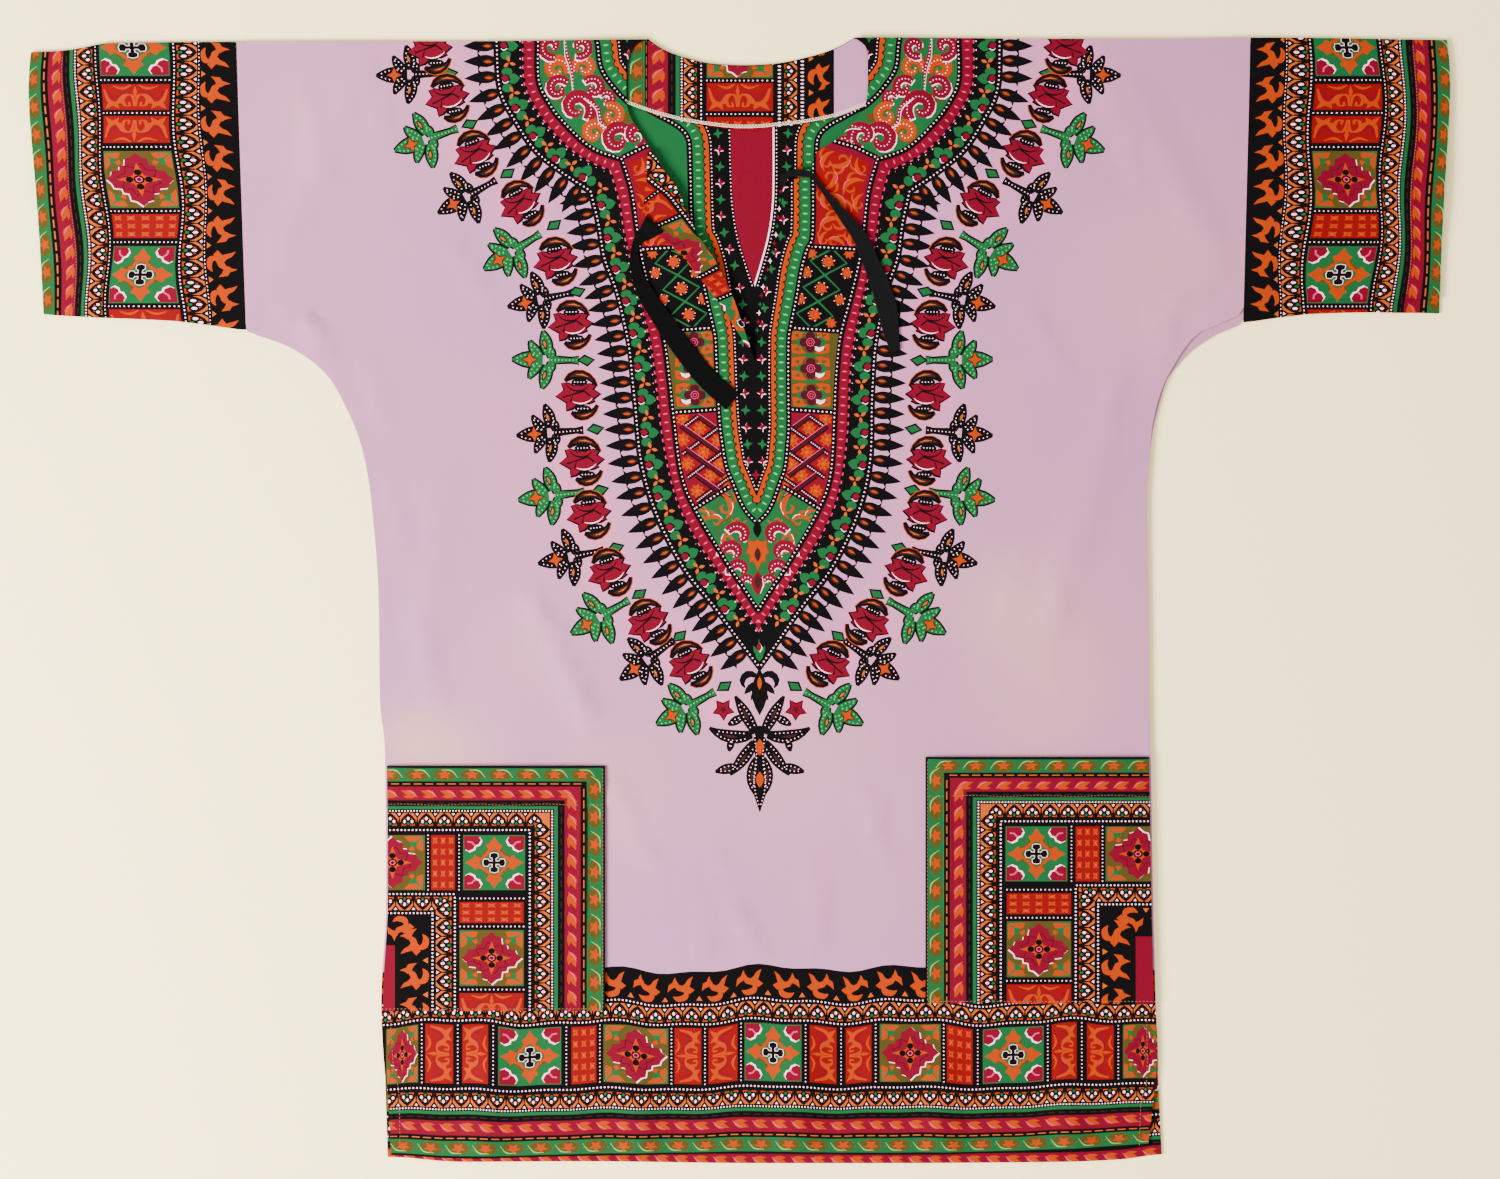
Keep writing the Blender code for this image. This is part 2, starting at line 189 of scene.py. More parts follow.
# Smaller creases, in the same columns
CREASES = (
    (-168, 10, -142, -44, 6.0, 1.9), (-140, -48, -118, -98, 6.8, 2.5), (-93, -172, -66, -214, 6.8, 2.5),
    (-110, -140, -80, -176, 7.6, 1.9), (-22, -196, -4, -226, 6.0, 2.2), (-8, -238, 18, -284, 6.8, 2.5),
    (-33, -222, -30, -292, 6.0, 1.6), (-344, 226, -322, 176, 6.8, 2.5), (-366, 236, -330, 214, 6.0, 2.2),
    (-300, 205, -276, 120, 7.6, 1.6), (-280, 100, -262, 24, 7.6, 1.6), (-256, -10, -240, -90, 7.6, 1.9),
    (-350, 420, -330, 330, 7.6, 1.6), (-296, 430, -280, 360, 7.6, 1.3), (378, 260, 344, 232, 6.8, 2.2),
    (352, 248, 330, 190, 6.8, 2.5), (310, 205, 286, 120, 7.6, 1.6), (262, 40, 246, -60, 7.6, 1.9),
    (290, 420, 322, 330, 7.6, 1.6), (232, 40, 206, -30, 6.8, 1.3), (100, -150, 120, -214, 7.6, 1.6),
    (60, -210, 66, -280, 6.8, 1.6), (-240, 300, -196, 230, 7.6, 1.3), (226, 240, 262, 180, 7.6, 1.3),
)

# Cuffs, from the sleeve seam to the open end: distance across at the top edge and at the
# bottom edge, height of the bottom edge, height of the top edge, rise of the face
CUFF_LEFT = (
    (-402.5, -394.5, 216.5, 446.5, 0.0),
    (-425, -420, 220, 446.5, 0.8),
    (-452, -450, 223.5, 446.3, 1.6),
    (-480, -480, 225, 446, 1.2),
    (-508, -508, 226, 445.5, 0.6),
    (-528, -527, 227, 441, 1.4),
    (-547, -543, 228, 439, 2.0),
    (-566, -556, 229, 438.5, 1.2),
)
CUFF_RIGHT = (
    (409.4, 403.5, 222.5, 450, 0.0),
    (432, 428, 226, 450, 0.9),
    (456, 454, 229, 449.8, 1.5),
    (482, 481, 230, 449.5, 0.7),
    (508, 508, 230.5, 449, 1.3),
    (528, 526, 230, 448.6, 1.8),
    (547, 542, 230, 448.4, 1.0),
    (566, 560, 229.5, 448, 1.6),
)
CUFF_END_BOW = 3.6

# Back neck facing: distance across, height of its lower edge
FACING_FOOT = (
    (-104, 402),
    (-88, 396),
    (-65, 388),
    (-35, 381),
    (4, 377),
    (42, 380),
    (72, 385),
    (100, 395),
    (117, 402),
)

# Slit facing turned out over the left front: edge at the slit across and height,
# outer edge across and height
FLAP = (
    (-70, 360, -73, 357),
    (-61, 345, -74, 331),
    (-50, 330, -76, 312),
    (-42, 312, -68, 296),
    (-34, 294, -57, 286),
    (-26, 282, -43, 272),
    (-17, 268, -30, 256),
    (-5, 243, -14, 235),
    (3, 220, -4, 219),
    (9, 202, 6, 203),
)

# Facing folded under along the right edge of the slit: top, foot, what shows, what is hidden
UNDER_FACING = (331, 212, 3, 9)

# Ribbon ties: distance across, height, width
TIE_LEFT = (
    (-67, 301, 19),
    (-74, 294, 13),
    (-81, 287, 7),
    (-84, 276, 6),
    (-81, 260, 10),
    (-73.5, 243.5, 13.5),
    (-62, 226, 15.5),
    (-46, 203, 16.5),
    (-26, 178, 17),
    (-5, 159, 17),
)
TIE_RIGHT = (
    (35, 331, 5),
    (36.5, 338.5, 5),
    (46, 341.5, 5.5),
    (57, 340, 5),
    (62.5, 334, 3.5),
    (72, 322, 5),
    (85.5, 305, 9),
    (97, 290, 12),
    (105.5, 270.5, 13.5),
    (113, 252, 15.5),
    (118.5, 233.5, 16.5),
    (121.5, 215.5, 13),
    (125, 199.5, 8),
)

# Patch pockets: inner edge across, lower edge, upper edge, side of the shirt it joins
POCKETS = (
    ("pocket_left", -107, -328, -132, -1),
    ("pocket_right", 149, -322, -125, 1),
)

# Printer's inks on the cloth, 0 to 255
INKS = {
    "lilac": (165, 109, 140),
    "crimson": (93, 7, 26),
    "red": (106, 7, 10),
    "orange": (141, 43, 0),
    "apricot": (152, 66, 18),
    "green": (20, 72, 37),
    "pale_green": (64, 150, 78),
    "olive": (60, 52, 19),
    "black": (9, 7, 8),
    "brown": (45, 19, 16),
    "maroon": (53, 11, 19),
    "pink": (176, 38, 84),
    "white": (238, 180, 196),
}
INK_NAMES = list(INKS)


# Tables and curves


def table_curve(table, column):
    """A smooth function through one column of a table, with no overshoot."""
    keys = [row[0] for row in table]
    values = [row[column] for row in table]
    slopes = [(b - a) / (k - j) for a, b, j, k in zip(values, values[1:], keys, keys[1:])]
    ends = [slopes[0]]
    for a, b in zip(slopes, slopes[1:]):
        ends.append(0.0 if a * b <= 0 else 2 * a * b / (a + b))
    ends.append(slopes[-1])
    dense_keys = [keys[0]]
    dense_values = [values[0]]
    for i in range(len(slopes)):
        width = keys[i + 1] - keys[i]
        for n in range(1, 9):
            t = n / 8
            dense_keys.append(keys[i] + width * t)
            dense_values.append(
                (2 * t**3 - 3 * t**2 + 1) * values[i]
                + (t**3 - 2 * t**2 + t) * width * ends[i]
                + (3 * t**2 - 2 * t**3) * values[i + 1]
                + (t**3 - t**2) * width * ends[i + 1]
            )
    return lambda key: np.interp(key, dense_keys, dense_values)


front_left = table_curve(FRONT_SIDES, 1)
front_right = table_curve(FRONT_SIDES, 2)
back_left = table_curve(BACK_SIDES, 1)
back_right = table_curve(BACK_SIDES, 2)
back_hem = table_curve(ENDS, 1)
front_hem = table_curve(ENDS, 2)
shoulder = table_curve(ENDS, 3)
back_neck = table_curve(BACK_NECK, 1)
slit_left = table_curve(FRONT_NECK, 1)
slit_right = table_curve(FRONT_NECK, 2)
facing_foot = table_curve(FACING_FOOT, 1)


def smooth(points, steps=4, closed=False):
    """A curve through given points."""
    if closed:
        padded = [points[-1]] + list(points) + [points[0], points[1]]
    else:
        first = [2 * a - b for a, b in zip(points[0], points[1])]
        last = [2 * a - b for a, b in zip(points[-1], points[-2])]
        padded = [first] + list(points) + [last]
    route = []
    for a, b, c, d in zip(padded, padded[1:], padded[2:], padded[3:]):
        for n in range(steps):
            t = n / steps
            route.append(
                tuple(
                    0.5 * (
                        2 * q + (r - p) * t + (2 * p - 5 * q + 4 * r - s) * t**2
                        + (3 * q - p - 3 * r + s) * t**3
                    )
                    for p, q, r, s in zip(a, b, c, d)
                )
            )
    return route if closed else route + [tuple(points[-1])]


def spread(a, b, steps):
    return [a + (b - a) * n / steps for n in range(steps + 1)]


def eased(t):
    t = np.clip(t, 0.0, 1.0)
    return t * t * (3 - 2 * t)


def resampled(path, pitch, start=0.0):
    """Places and directions along a path at an even pitch: x, y, direction x, direction y."""
    places = []
    due = start
    done = 0.0
    for (x0, y0), (x1, y1) in zip(path, path[1:]):
        length = math.hypot(x1 - x0, y1 - y0)
        while due < done + length:
            t = (due - done) / length
            places.append(
                (x0 + (x1 - x0) * t, y0 + (y1 - y0) * t, (x1 - x0) / length, (y1 - y0) / length)
            )
            due += pitch
        done += length
    return places


def path_length(path):
    return sum(math.hypot(x1 - x0, y1 - y0) for (x0, y0), (x1, y1) in zip(path, path[1:]))


# Drawing


class Print:
    """Printed shapes in painter's order: an ink and a closed outline in millimetres."""

    def __init__(self):
        self.shapes = []

    def add(self, ink, points, place=None):
        if place:
            points = [place(a, b) for a, b in points]
        self.shapes.append((INK_NAMES.index(ink), [(float(x), float(y)) for x, y in points]))


def at(x, y, angle=0.0, scale=1.0, flip=1, inside=None):
    """A placer that sets a motif's own axes at a point, turned by an angle in degrees."""
    c = math.cos(math.radians(angle)) * scale
    s = math.sin(math.radians(angle)) * scale

    def place(a, b):
        b *= flip
        here = (x + a * c - b * s, y + a * s + b * c)
        return inside(*here) if inside else here

    return place


def oval(cx, cy, rx, ry, sides=8, turn=0.0):
    return [
        (
            cx + rx * math.cos(turn + 2 * math.pi * n / sides),
            cy + ry * math.sin(turn + 2 * math.pi * n / sides)
        )
        for n in range(sides)
    ]


def dot(sheet, ink, x, y, r, place=None, sides=5):
    sheet.add(ink, oval(x, y, r, r, sides, 0.3), place)


def lens(x0, y0, x1, y1, half, steps=4, lean=0.0):
    """A leaf from base to tip; a lean above 0 puts its widest place nearer the base."""
    run = (x1 - x0, y1 - y0)
    length = math.hypot(*run)
    nx, ny = -run[1] / length, run[0] / length
    one = []
    other = []
    for n in range(1, steps):
        t = n / steps
        w = half * math.sin(math.pi * t ** (1 - lean * 0.5)) ** 0.9
        one.append((x0 + run[0] * t + nx * w, y0 + run[1] * t + ny * w))
        other.append((x0 + run[0] * t - nx * w, y0 + run[1] * t - ny * w))
    return [(x0, y0)] + other + [(x1, y1)] + one[::-1]


# A line that turns further than this, in radians, is drawn step by step, so it may lie over itself
ONE_SHAPE_TURN = 3.4


def turning(path):
    """How far a path turns in all, in radians."""
    total = 0.0
    for (ax, ay), (bx, by), (cx, cy) in zip(path, path[1:], path[2:]):
        cross = (bx - ax) * (cy - by) - (by - ay) * (cx - bx)
        along = (bx - ax) * (cx - bx) + (by - ay) * (cy - by)
        total += abs(math.atan2(cross, along))
    return total


def stroke(sheet, ink, path, widths, place=None):
    """A line of changing width, as one shape where it bends gently and step by step where it curls."""
    count = len(path)
    if not hasattr(widths, "__len__"):
        widths = [widths] * count
    elif len(widths) != count:
        keys = [n * (count - 1) / (len(widths) - 1) for n in range(len(widths))]
        widths = [float(np.interp(n, keys, widths)) for n in range(count)]
    left = []
    right = []
    for n, (x, y) in enumerate(path):
        ax, ay = path[max(n - 1, 0)]
        bx, by = path[min(n + 1, count - 1)]
        length = math.hypot(bx - ax, by - ay) or 1.0
        nx, ny = -(by - ay) / length, (bx - ax) / length
        w = max(widths[n], 0.06) / 2
        left.append((x + nx * w, y + ny * w))
        right.append((x - nx * w, y - ny * w))
    if turning(path) < ONE_SHAPE_TURN:
        sheet.add(ink, right + left[::-1], place)
        return
    for n in range(count - 1):
        sheet.add(ink, [right[n], right[n + 1], left[n + 1], left[n]], place)


def mirrored(half):
    """A closed outline from its half above the axis, from one end to the other."""
    return list(half) + [(a, -b) for a, b in reversed(half) if abs(b) > 1e-6]


def grown(points, d):
    """The outline moved out by d along its corners' normals."""
    area = sum(x0 * y1 - x1 * y0 for (x0, y0), (x1, y1) in zip(points, points[1:] + points[:1]))
    turn = 1 if area > 0 else -1
    out = []
    count = len(points)
    for n, (x, y) in enumerate(points):
        ax, ay = points[n - 1]
        bx, by = points[(n + 1) % count]
        length = math.hypot(bx - ax, by - ay) or 1.0
        out.append((x + turn * (by - ay) / length * d, y - turn * (bx - ax) / length * d))
    return out


# Bands of the border strip, from its scroll to its edge, in its own millimetres across


class Strip:
    """A stretch of the border: place(s, t) with s along it and t across it from the scroll."""

    def __init__(self, sheet, place, start, end, step=9.0):
        self.sheet = sheet
        self.place = place
        self.start = start
        self.end = end
        self.step = step

    def band(self, ink, low, high, start=None, end=None):
        s0 = self.start if start is None else start
        s1 = self.end if end is None else end
        steps = max(1, round(abs(s1 - s0) / self.step))
        along = spread(s0, s1, steps)
        self.sheet.add(ink, [(s, low) for s in along] + [(s, high) for s in reversed(along)], self.place)

    def each(self, pitch, offset=0.0):
        count = int((self.end - self.start - offset) // pitch) + 1
        return [self.start + offset + n * pitch for n in range(count)]

    def dots(self, ink, t, pitch, r, offset=0.0):
        for s in self.each(pitch, offset):
            self.sheet.add(
                ink, [(s - r, t - r), (s + r, t - r), (s + r, t + r), (s - r, t + r)], self.place
            )

    def dashes(self, ink, t, pitch, length, thick, offset=0.0):
        for s in self.each(pitch, offset):
            high = min(s + length, self.end)
            self.sheet.add(
                ink,
                [(s, t - thick / 2), (high, t - thick / 2), (high, t + thick / 2), (s, t + thick / 2)],
                self.place
            )


SCROLL_TOP = 0.0
SCROLL_FOOT = 24.0
CHAIN_ONE = (29.0, 40.2)
BLOCKS = (44.4, 92.4)
CHAIN_TWO = (98.8, 109.6)
GREEN_LINE = (112.6, 115.2)
CRIMSON = (120.0, 131.4)
LEAF_GREEN = (135.6, 147.0)
STRIP_WIDTH = 148.6
DOT_PITCH = 3.0
CHAIN_PITCH = 14.4


def chain(strip, low, high, flip, offset=0.0):
    """Onion arches in a row, each with a three-petalled flower, on an orange ground."""
    size = (high - low) / 11.2
    base = high if flip > 0 else low
    for s in strip.each(CHAIN_PITCH, offset):
        place = at(s, base, -90 * flip, size, 1, strip.place)
        arch = [(0, 7.2), (2.2, 6.8), (5.6, 5.9), (8.6, 3.4), (11.4, 0.0)]
        strip.sheet.add("black", mirrored(arch), place)
        inner = [(0.2, 5.7), (2.2, 5.2), (5.0, 4.2), (7.0, 2.4), (9.0, 0.0)]
        strip.sheet.add("orange", mirrored(inner), place)
        for a, b in ((3.6, 3.3), (3.6, -3.3), (6.5, 0.0)):
            strip.sheet.add("black", oval(a, b, 2.8, 2.3, 7), place)
        for a, b in ((3.8, 3.1), (3.8, -3.1), (6.4, 0.0)):
            strip.sheet.add("white", oval(a, b, 1.5, 1.15, 6), place)
        strip.sheet.add("black", oval(2.1, 0, 2.7, 2.3, 7), place)
        strip.sheet.add("green", oval(1.9, 0, 1.4, 1.2, 6), place)
        between = at(s + CHAIN_PITCH / 2, base, -90 * flip, size, 1, strip.place)
        strip.sheet.add(
            "black", [(11.2, 3.4), (7.0, 0.4), (0, 1.2), (0, -1.2), (7.0, -0.4), (11.2, -3.4)],
            between
        )
        strip.sheet.add("white", [(10.8, 1.3), (8.9, 0), (10.8, -1.3)], between)


def flame_scroll(strip, low, high, pitch, middle, offset=0.0):
    """Orange flames that curl on black, turned over past the middle, with small peaks between."""
    size = (high - low) / 24.0
    for s in strip.each(pitch, offset):
        way = 1 if s < middle else -1
        place = at(s, high, -90, size, way, strip.place)
        body = smooth(
            [(4.5, -7.5), (2.2, -3.5), (3.2, 2.0), (7.2, 3.6), (10.2, 1.2), (12.0, -2.8), (16.0, -6.4)],
            3
        )
        stroke(strip.sheet, "orange", body, [0.8, 4.6, 5.4, 3.6, 4.6, 5.0, 2.0], place)
        horn = smooth([(11.0, 0.0), (13.5, 4.0), (17.5, 6.0), (21.0, 9.0)], 3)
        stroke(strip.sheet, "orange", horn, [4.2, 4.6, 3.4, 0.2], place)
        tongue = smooth([(14.5, -5.0), (17.5, -6.4), (21.5, -6.0)], 3)
        stroke(strip.sheet, "orange", tongue, [4.4, 3.4, 0.2], place)
        barb = [(13.0, -5.5), (11.5, -9.0), (8.8, -12.4), (15.2, -11.4), (17.6, -7.0)]
        strip.sheet.add("orange", barb, place)
        spur = [(9.6, 3.2), (13.4, 5.0), (9.4, 10.4), (6.0, 6.4)]
        strip.sheet.add("orange", spur, place)
        between = at(s + pitch / 2, high, -90, size, 1, strip.place)
        strip.sheet.add("apricot", [(0.6, -2.6), (4.6, 0), (0.6, 2.6)], between)


def leaf_row(strip, low, high, pitch, ink, light, offset=0.0):
    """A row of three-pointed leaves, each with a pale vein."""
    mid = (low + high) / 2
    size = (high - low) / 11.2
    for s in strip.each(pitch, offset):
        place = at(s, mid, 0, size, 1, strip.place)
        for tip, up, half in ((6.4, 2.4, 1.9), (5.0, -2.6, 1.5), (0.4, 3.2, 1.4)):
            strip.sheet.add(ink, lens(-6.0, -2.4, tip, up, half, 3), place)
        stroke(strip.sheet, light, [(-6.6, -3.2), (-3.0, 0.6), (1.8, 2.6)], [0.2, 0.9, 0.3], place)


def leaf_green(strip, low, high, pitch, offset=0.0):
    """Orange flowers on olive leaves over green, with a pale curved vein."""
    mid = (low + high) / 2
    size = (high - low) / 11.4
    for s in strip.each(pitch, offset):
        place = at(s, mid, 0, size, 1, strip.place)
        strip.sheet.add("olive", oval(0.2, 0, 10.0, 5.2, 8), place)
        stroke(
            strip.sheet, "pale_green", smooth([(-10.0, -2.6), (-5.0, 3.2), (3.0, 3.8)], 3),
            [0.3, 1.1, 0.4], place
        )
        flower = [(1.1 * x + 0.6, 0.85 * y) for x, y in star(5, 5.2, 2.5, 0.3)]
        strip.sheet.add("orange", flower, place)


def block_place(strip, s0, s1, low, high, pad=1.2):
    """A placer from -1..1 both ways to a block of the strip."""
    cs = (s0 + s1) / 2
    ct = (low + high) / 2
    hs = (s1 - s0) / 2 - pad
    ht = (high - low) / 2 - pad
    return lambda a, b: strip.place(cs + a * hs, ct + b * ht)


def square(sheet, ink, place, size=1.0, steps=3):
    edge = spread(-size, size, steps)
    outline = [(a, -size) for a in edge]
    outline += [(size, b) for b in edge[1:]]
    outline += [(a, size) for a in reversed(edge[:-1])]
    outline += [(-size, b) for b in reversed(edge[1:-1])]
    sheet.add(ink, outline, place)


def star(points, outer, inner, turn=0.0):
    out = []
    for n in range(points * 2):
        r = outer if n % 2 == 0 else inner
        angle = turn + math.pi * n / points
        out.append((r * math.cos(angle), r * math.sin(angle)))
    return out


def rosette_block(sheet, place):
    square(sheet, "olive", place)
    for ca in (-1, 1):
        for cb in (-1, 1):
            sheet.add(
                "green",
                [
                    (ca * 0.98, cb * 0.98), (ca * 0.98, cb * 0.5), (ca * 0.55, cb * 0.62),
                    (ca * 0.45, cb * 0.98)
                ],
                place
            )
            sheet.add(
                "orange",
                [
                    (ca * 0.92, cb * 0.94), (ca * 0.94, cb * 0.42), (ca * 0.74, cb * 0.5),
                    (ca * 0.76, cb * 0.7)
                ],
                place
            )
            sheet.add(
                "orange",
                [
                    (ca * 0.9, cb * 0.96), (ca * 0.72, cb * 0.76), (ca * 0.5, cb * 0.78),
                    (ca * 0.34, cb * 0.95)
                ],
                place
            )
            sheet.add(
                "orange",
                [
                    (ca * 0.62, cb * 0.6), (ca * 0.5, cb * 0.52), (ca * 0.56, cb * 0.42),
                    (ca * 0.7, cb * 0.46)
                ],
                place
            )
    petals = []
    for n in range(32):
        angle = 2 * math.pi * n / 32
        point = abs(math.cos(2 * angle)) ** 2.4
        radius = 0.60 + 0.27 * point + (0.07 if n % 4 in (0, 2) else -0.03)
        petals.append((radius * math.cos(angle), radius * math.sin(angle)))
    sheet.add("white", [(a + 0.035, b + 0.03) for a, b in petals], place)
    sheet.add("crimson", petals, place)
    sheet.add("maroon", star(8, 0.60, 0.42, 0.2), place)
    sheet.add("crimson", star(8, 0.56, 0.385, 0.2), place)
    sheet.add("orange", star(4, 0.60, 0.2), place)
    for n in range(4):
        angle = math.pi / 2 * n
        sheet.add("black", oval(0.25 * math.cos(angle), 0.25 * math.sin(angle), 0.11, 0.11, 7), place)
    sheet.add("black", oval(0, 0, 0.15, 0.15, 8), place)
    sheet.add("pink", oval(0, 0, 0.1, 0.1, 6), place)
    sheet.add("maroon", oval(0, 0, 0.065, 0.065, 5), place)


def scroll_block(sheet, place, flip):
    square(sheet, "red", place)

    def turned(a, b):
        return place(a * flip, b)

    for up in (-1, 1):
        stem = smooth(
            [
                (-0.62, up * 0.92), (0.28, up * 0.78), (0.42, up * 0.48), (-0.12, up * 0.3),
                (-0.1, up * 0.08), (0.7, up * 0.02)
            ],
            3
        )
        stroke(sheet, "orange", stem, [0.04, 0.16, 0.2, 0.17, 0.1, 0.03], turned)
        curl = smooth([(0.1, up * 0.36), (0.62, up * 0.3), (0.66, up * 0.16), (0.38, up * 0.17)], 3)
        stroke(sheet, "orange", curl, [0.1, 0.1, 0.09, 0.05], turned)
        sheet.add(
            "orange",
            [(0.36, up * 0.8), (0.94, up * 0.92), (0.66, up * 0.66), (0.9, up * 0.46), (0.42, up * 0.5)],
            turned
        )
        stroke(
            sheet, "orange", smooth([(-0.92, up * 0.1), (-0.66, up * 0.34), (-0.84, up * 0.62)], 3),
            [0.03, 0.2, 0.02], turned
        )
        stroke(
            sheet, "crimson",
            smooth([(-0.5, up * 0.8), (0.16, up * 0.62), (-0.3, up * 0.34), (-0.3, up * 0.1)], 3),
            [0.03, 0.09, 0.09, 0.03], turned
        )
    sheet.add("orange", [(-0.9, 0), (-0.4, 0.06), (0.1, 0), (-0.4, -0.06)], turned)


def cross_block(sheet, place):
    square(sheet, "green", place)
    for ca in (-1, 1):
        for cb in (-1, 1):
            heart = [
                (0.97, 0.97), (0.97, 0.5), (0.82, 0.42), (0.66, 0.5), (0.62, 0.62), (0.5, 0.66),
                (0.42, 0.82), (0.5, 0.97)
            ]
            sheet.add("white", [((a - 0.045) * ca, (b - 0.045) * cb) for a, b in heart], place)
            sheet.add("crimson", [(a * ca, b * cb) for a, b in heart], place)
            stroke(
                sheet, "pink", [(0.6 * ca, 0.6 * cb), (0.72 * ca, 0.74 * cb), (0.86 * ca, 0.76 * cb)],
                [0.02, 0.05, 0.02], place
            )
    ring = []
    for n in range(32):
        angle = 2 * math.pi * n / 32
        ring.append(
            (
                (0.52 + 0.09 * math.cos(4 * angle)) * math.cos(angle),
                (0.52 + 0.09 * math.cos(4 * angle)) * math.sin(angle)
            )
        )
    sheet.add("olive", [(a * 1.1, b * 1.1 + 0.03) for a, b in ring], place)
    sheet.add("orange", ring, place)
    for n in range(4):
        angle = 90 * n
        tip = at(0, 0, angle)
        fleuron = [(0.46, 0.0), (0.5, 0.2), (0.62, 0.26), (0.7, 0.14), (0.94, 0.0)]
        sheet.add("orange", [tip(a, b) for a, b in mirrored(fleuron)], place)
        sheet.add("olive", [tip(a, b) for a, b in oval(0.44, 0.24, 0.07, 0.07, 5)], place)
    hole = [(a * 0.72, b * 0.72) for a, b in ring]
    sheet.add("olive", [(a * 1.06, b * 1.06) for a, b in hole], place)
    sheet.add("green", hole, place)
    arm = mirrored([(0.0, 0.05), (0.16, 0.055), (0.2, 0.13), (0.33, 0.12), (0.36, 0.0)])
    for ink, outline in (("white", grown(arm, 0.02)), ("black", arm)):
        for n in range(4):
            tip = at(0, 0, 90 * n)
            sheet.add(ink, [tip(a, b) for a, b in outline], place)


def small_block(sheet, place, across, along):
    """Red ground with rows of small four-petalled florets."""
    square(sheet, "red", place)
    for i in range(across):
        for j in range(along):
            a = -1 + (2 * i + 1) / across
            b = -1 + (2 * j + 1) / along
            floret = [(x / across + a, y / along + b) for x, y in star(4, 0.86, 0.42, 0.78)]
            sheet.add("orange", floret, place)
            sheet.add(
                "pink" if (i + j) % 2 else "red",
                [(x * 0.2 / across + a, y * 0.2 / along + b) for x, y in star(3, 0.8, 0.5)], place
            )


BLOCK_DRAW = {
    "plain": lambda sheet, place: None,
    "rosette": lambda sheet, place: rosette_block(sheet, place),
    "scroll": lambda sheet, place: scroll_block(sheet, place, 1),
    "scroll_back": lambda sheet, place: scroll_block(sheet, place, -1),
    "cross": lambda sheet, place: cross_block(sheet, place),
    "small": lambda sheet, place: small_block(sheet, place, 3, 5),
}


def block_row(strip, blocks, low=BLOCKS[0], high=BLOCKS[1]):
    """Blocks along the strip, as name, start and end, parted by black bars with white dots."""
    for name, s0, s1 in blocks:
        if s1 <= strip.start or s0 >= strip.end:
            continue
        place = block_place(strip, s0, s1, low, high)
        BLOCK_DRAW[name](strip.sheet, place)
    bars = [(blocks[n][2] + blocks[n + 1][1]) / 2 for n in range(len(blocks) - 1)]
    for s in bars:
        if not strip.start <= s <= strip.end:
            continue
        t = low + 1.6
        while t < high:
            strip.sheet.add(
                "white",
                [(s - 0.48, t - 0.44), (s + 0.48, t - 0.44), (s + 0.48, t + 0.44), (s - 0.48, t + 0.44)],
                strip.place
            )
            t += DOT_PITCH


# Ground of the border from its outer edge inward: ink and the place across where it starts
BORDER_FILLS = (
    ("black", STRIP_WIDTH),
    ("green", LEAF_GREEN[1]),
    ("black", LEAF_GREEN[0]),
    ("crimson", CRIMSON[1]),
    ("black", CRIMSON[0]),
    ("green", GREEN_LINE[1]),
    ("black", GREEN_LINE[0]),
    ("apricot", CHAIN_TWO[1]),
    ("black", CHAIN_TWO[0]),
    ("apricot", CHAIN_ONE[1]),
    ("black", CHAIN_ONE[0]),
)


def border_rows(strip_at, blocks, middle=0.0, scroll_offset=8.0, with_scroll=True):
    """The border's rows in order across. strip_at(t) gives the stretch that the row at t has."""
    if with_scroll:
        flame_scroll(strip_at(12), SCROLL_TOP + 1.2, SCROLL_FOOT, 27.4, middle, scroll_offset)
    strip_at(26.6).dots("white", 26.6, DOT_PITCH, 0.58)
    chain(strip_at(35), *CHAIN_ONE, 1, 3.0)
    strip_at(42.4).dots("white", 42.4, DOT_PITCH, 0.58, 1.0)
    block_row(strip_at(68), blocks)
    strip_at(95.4).dots("white", 95.4, DOT_PITCH, 0.58, 0.6)
    chain(strip_at(104), *CHAIN_TWO, -1, 6.0)
    strip_at(111.2).dots("white", 111.2, 2.4, 0.52)
    strip_at(117.6).dashes("brown", 117.6, 8.4, 5.2, 0.7, 1.0)
    leaf_row(strip_at(125), *CRIMSON, 15.6, "orange", "pink", 5.0)
    strip_at(133.6).dashes("apricot", 133.6, 9.1, 6.4, 0.8, 2.0)
    leaf_green(strip_at(141), *LEAF_GREEN, 22.0, 9.0)


def border(strip, blocks, middle=0.0, scroll_offset=8.0):
    """The whole border along one straight or curved stretch."""
    for ink, high in BORDER_FILLS:
        strip.band(ink, SCROLL_TOP, high)
    border_rows(lambda t: strip, blocks, middle, scroll_offset)


# Yoke: its outlines as distance from the axis and height, with a corner below the shoulder

YOKE_OUTER_TOP = ((203, 450), (200.6, 408), (187, 380), (173, 359), (154, 343), (129, 326))
YOKE_OUTER_SIDE = (
    (129, 326), (123, 300), (118.6, 272), (108.4, 244), (100, 204), (97.6, 176), (96, 154),
    (93, 109), (82, 68), (60, 24), (37, -5), (14, -37), (0, -56),
)
YOKE_INNER_TOP = ((166, 450), (166, 416), (158, 398), (147.5, 384), (125, 363), (100.5, 354))
YOKE_INNER_SIDE = (
    (100.5, 354), (93, 328), (88, 289), (84, 266), (77, 240), (69, 212), (64.8, 176), (62.7, 148),
    (58.5, 102), (47.6, 73), (24, 32), (12, 14), (0, -5),
)
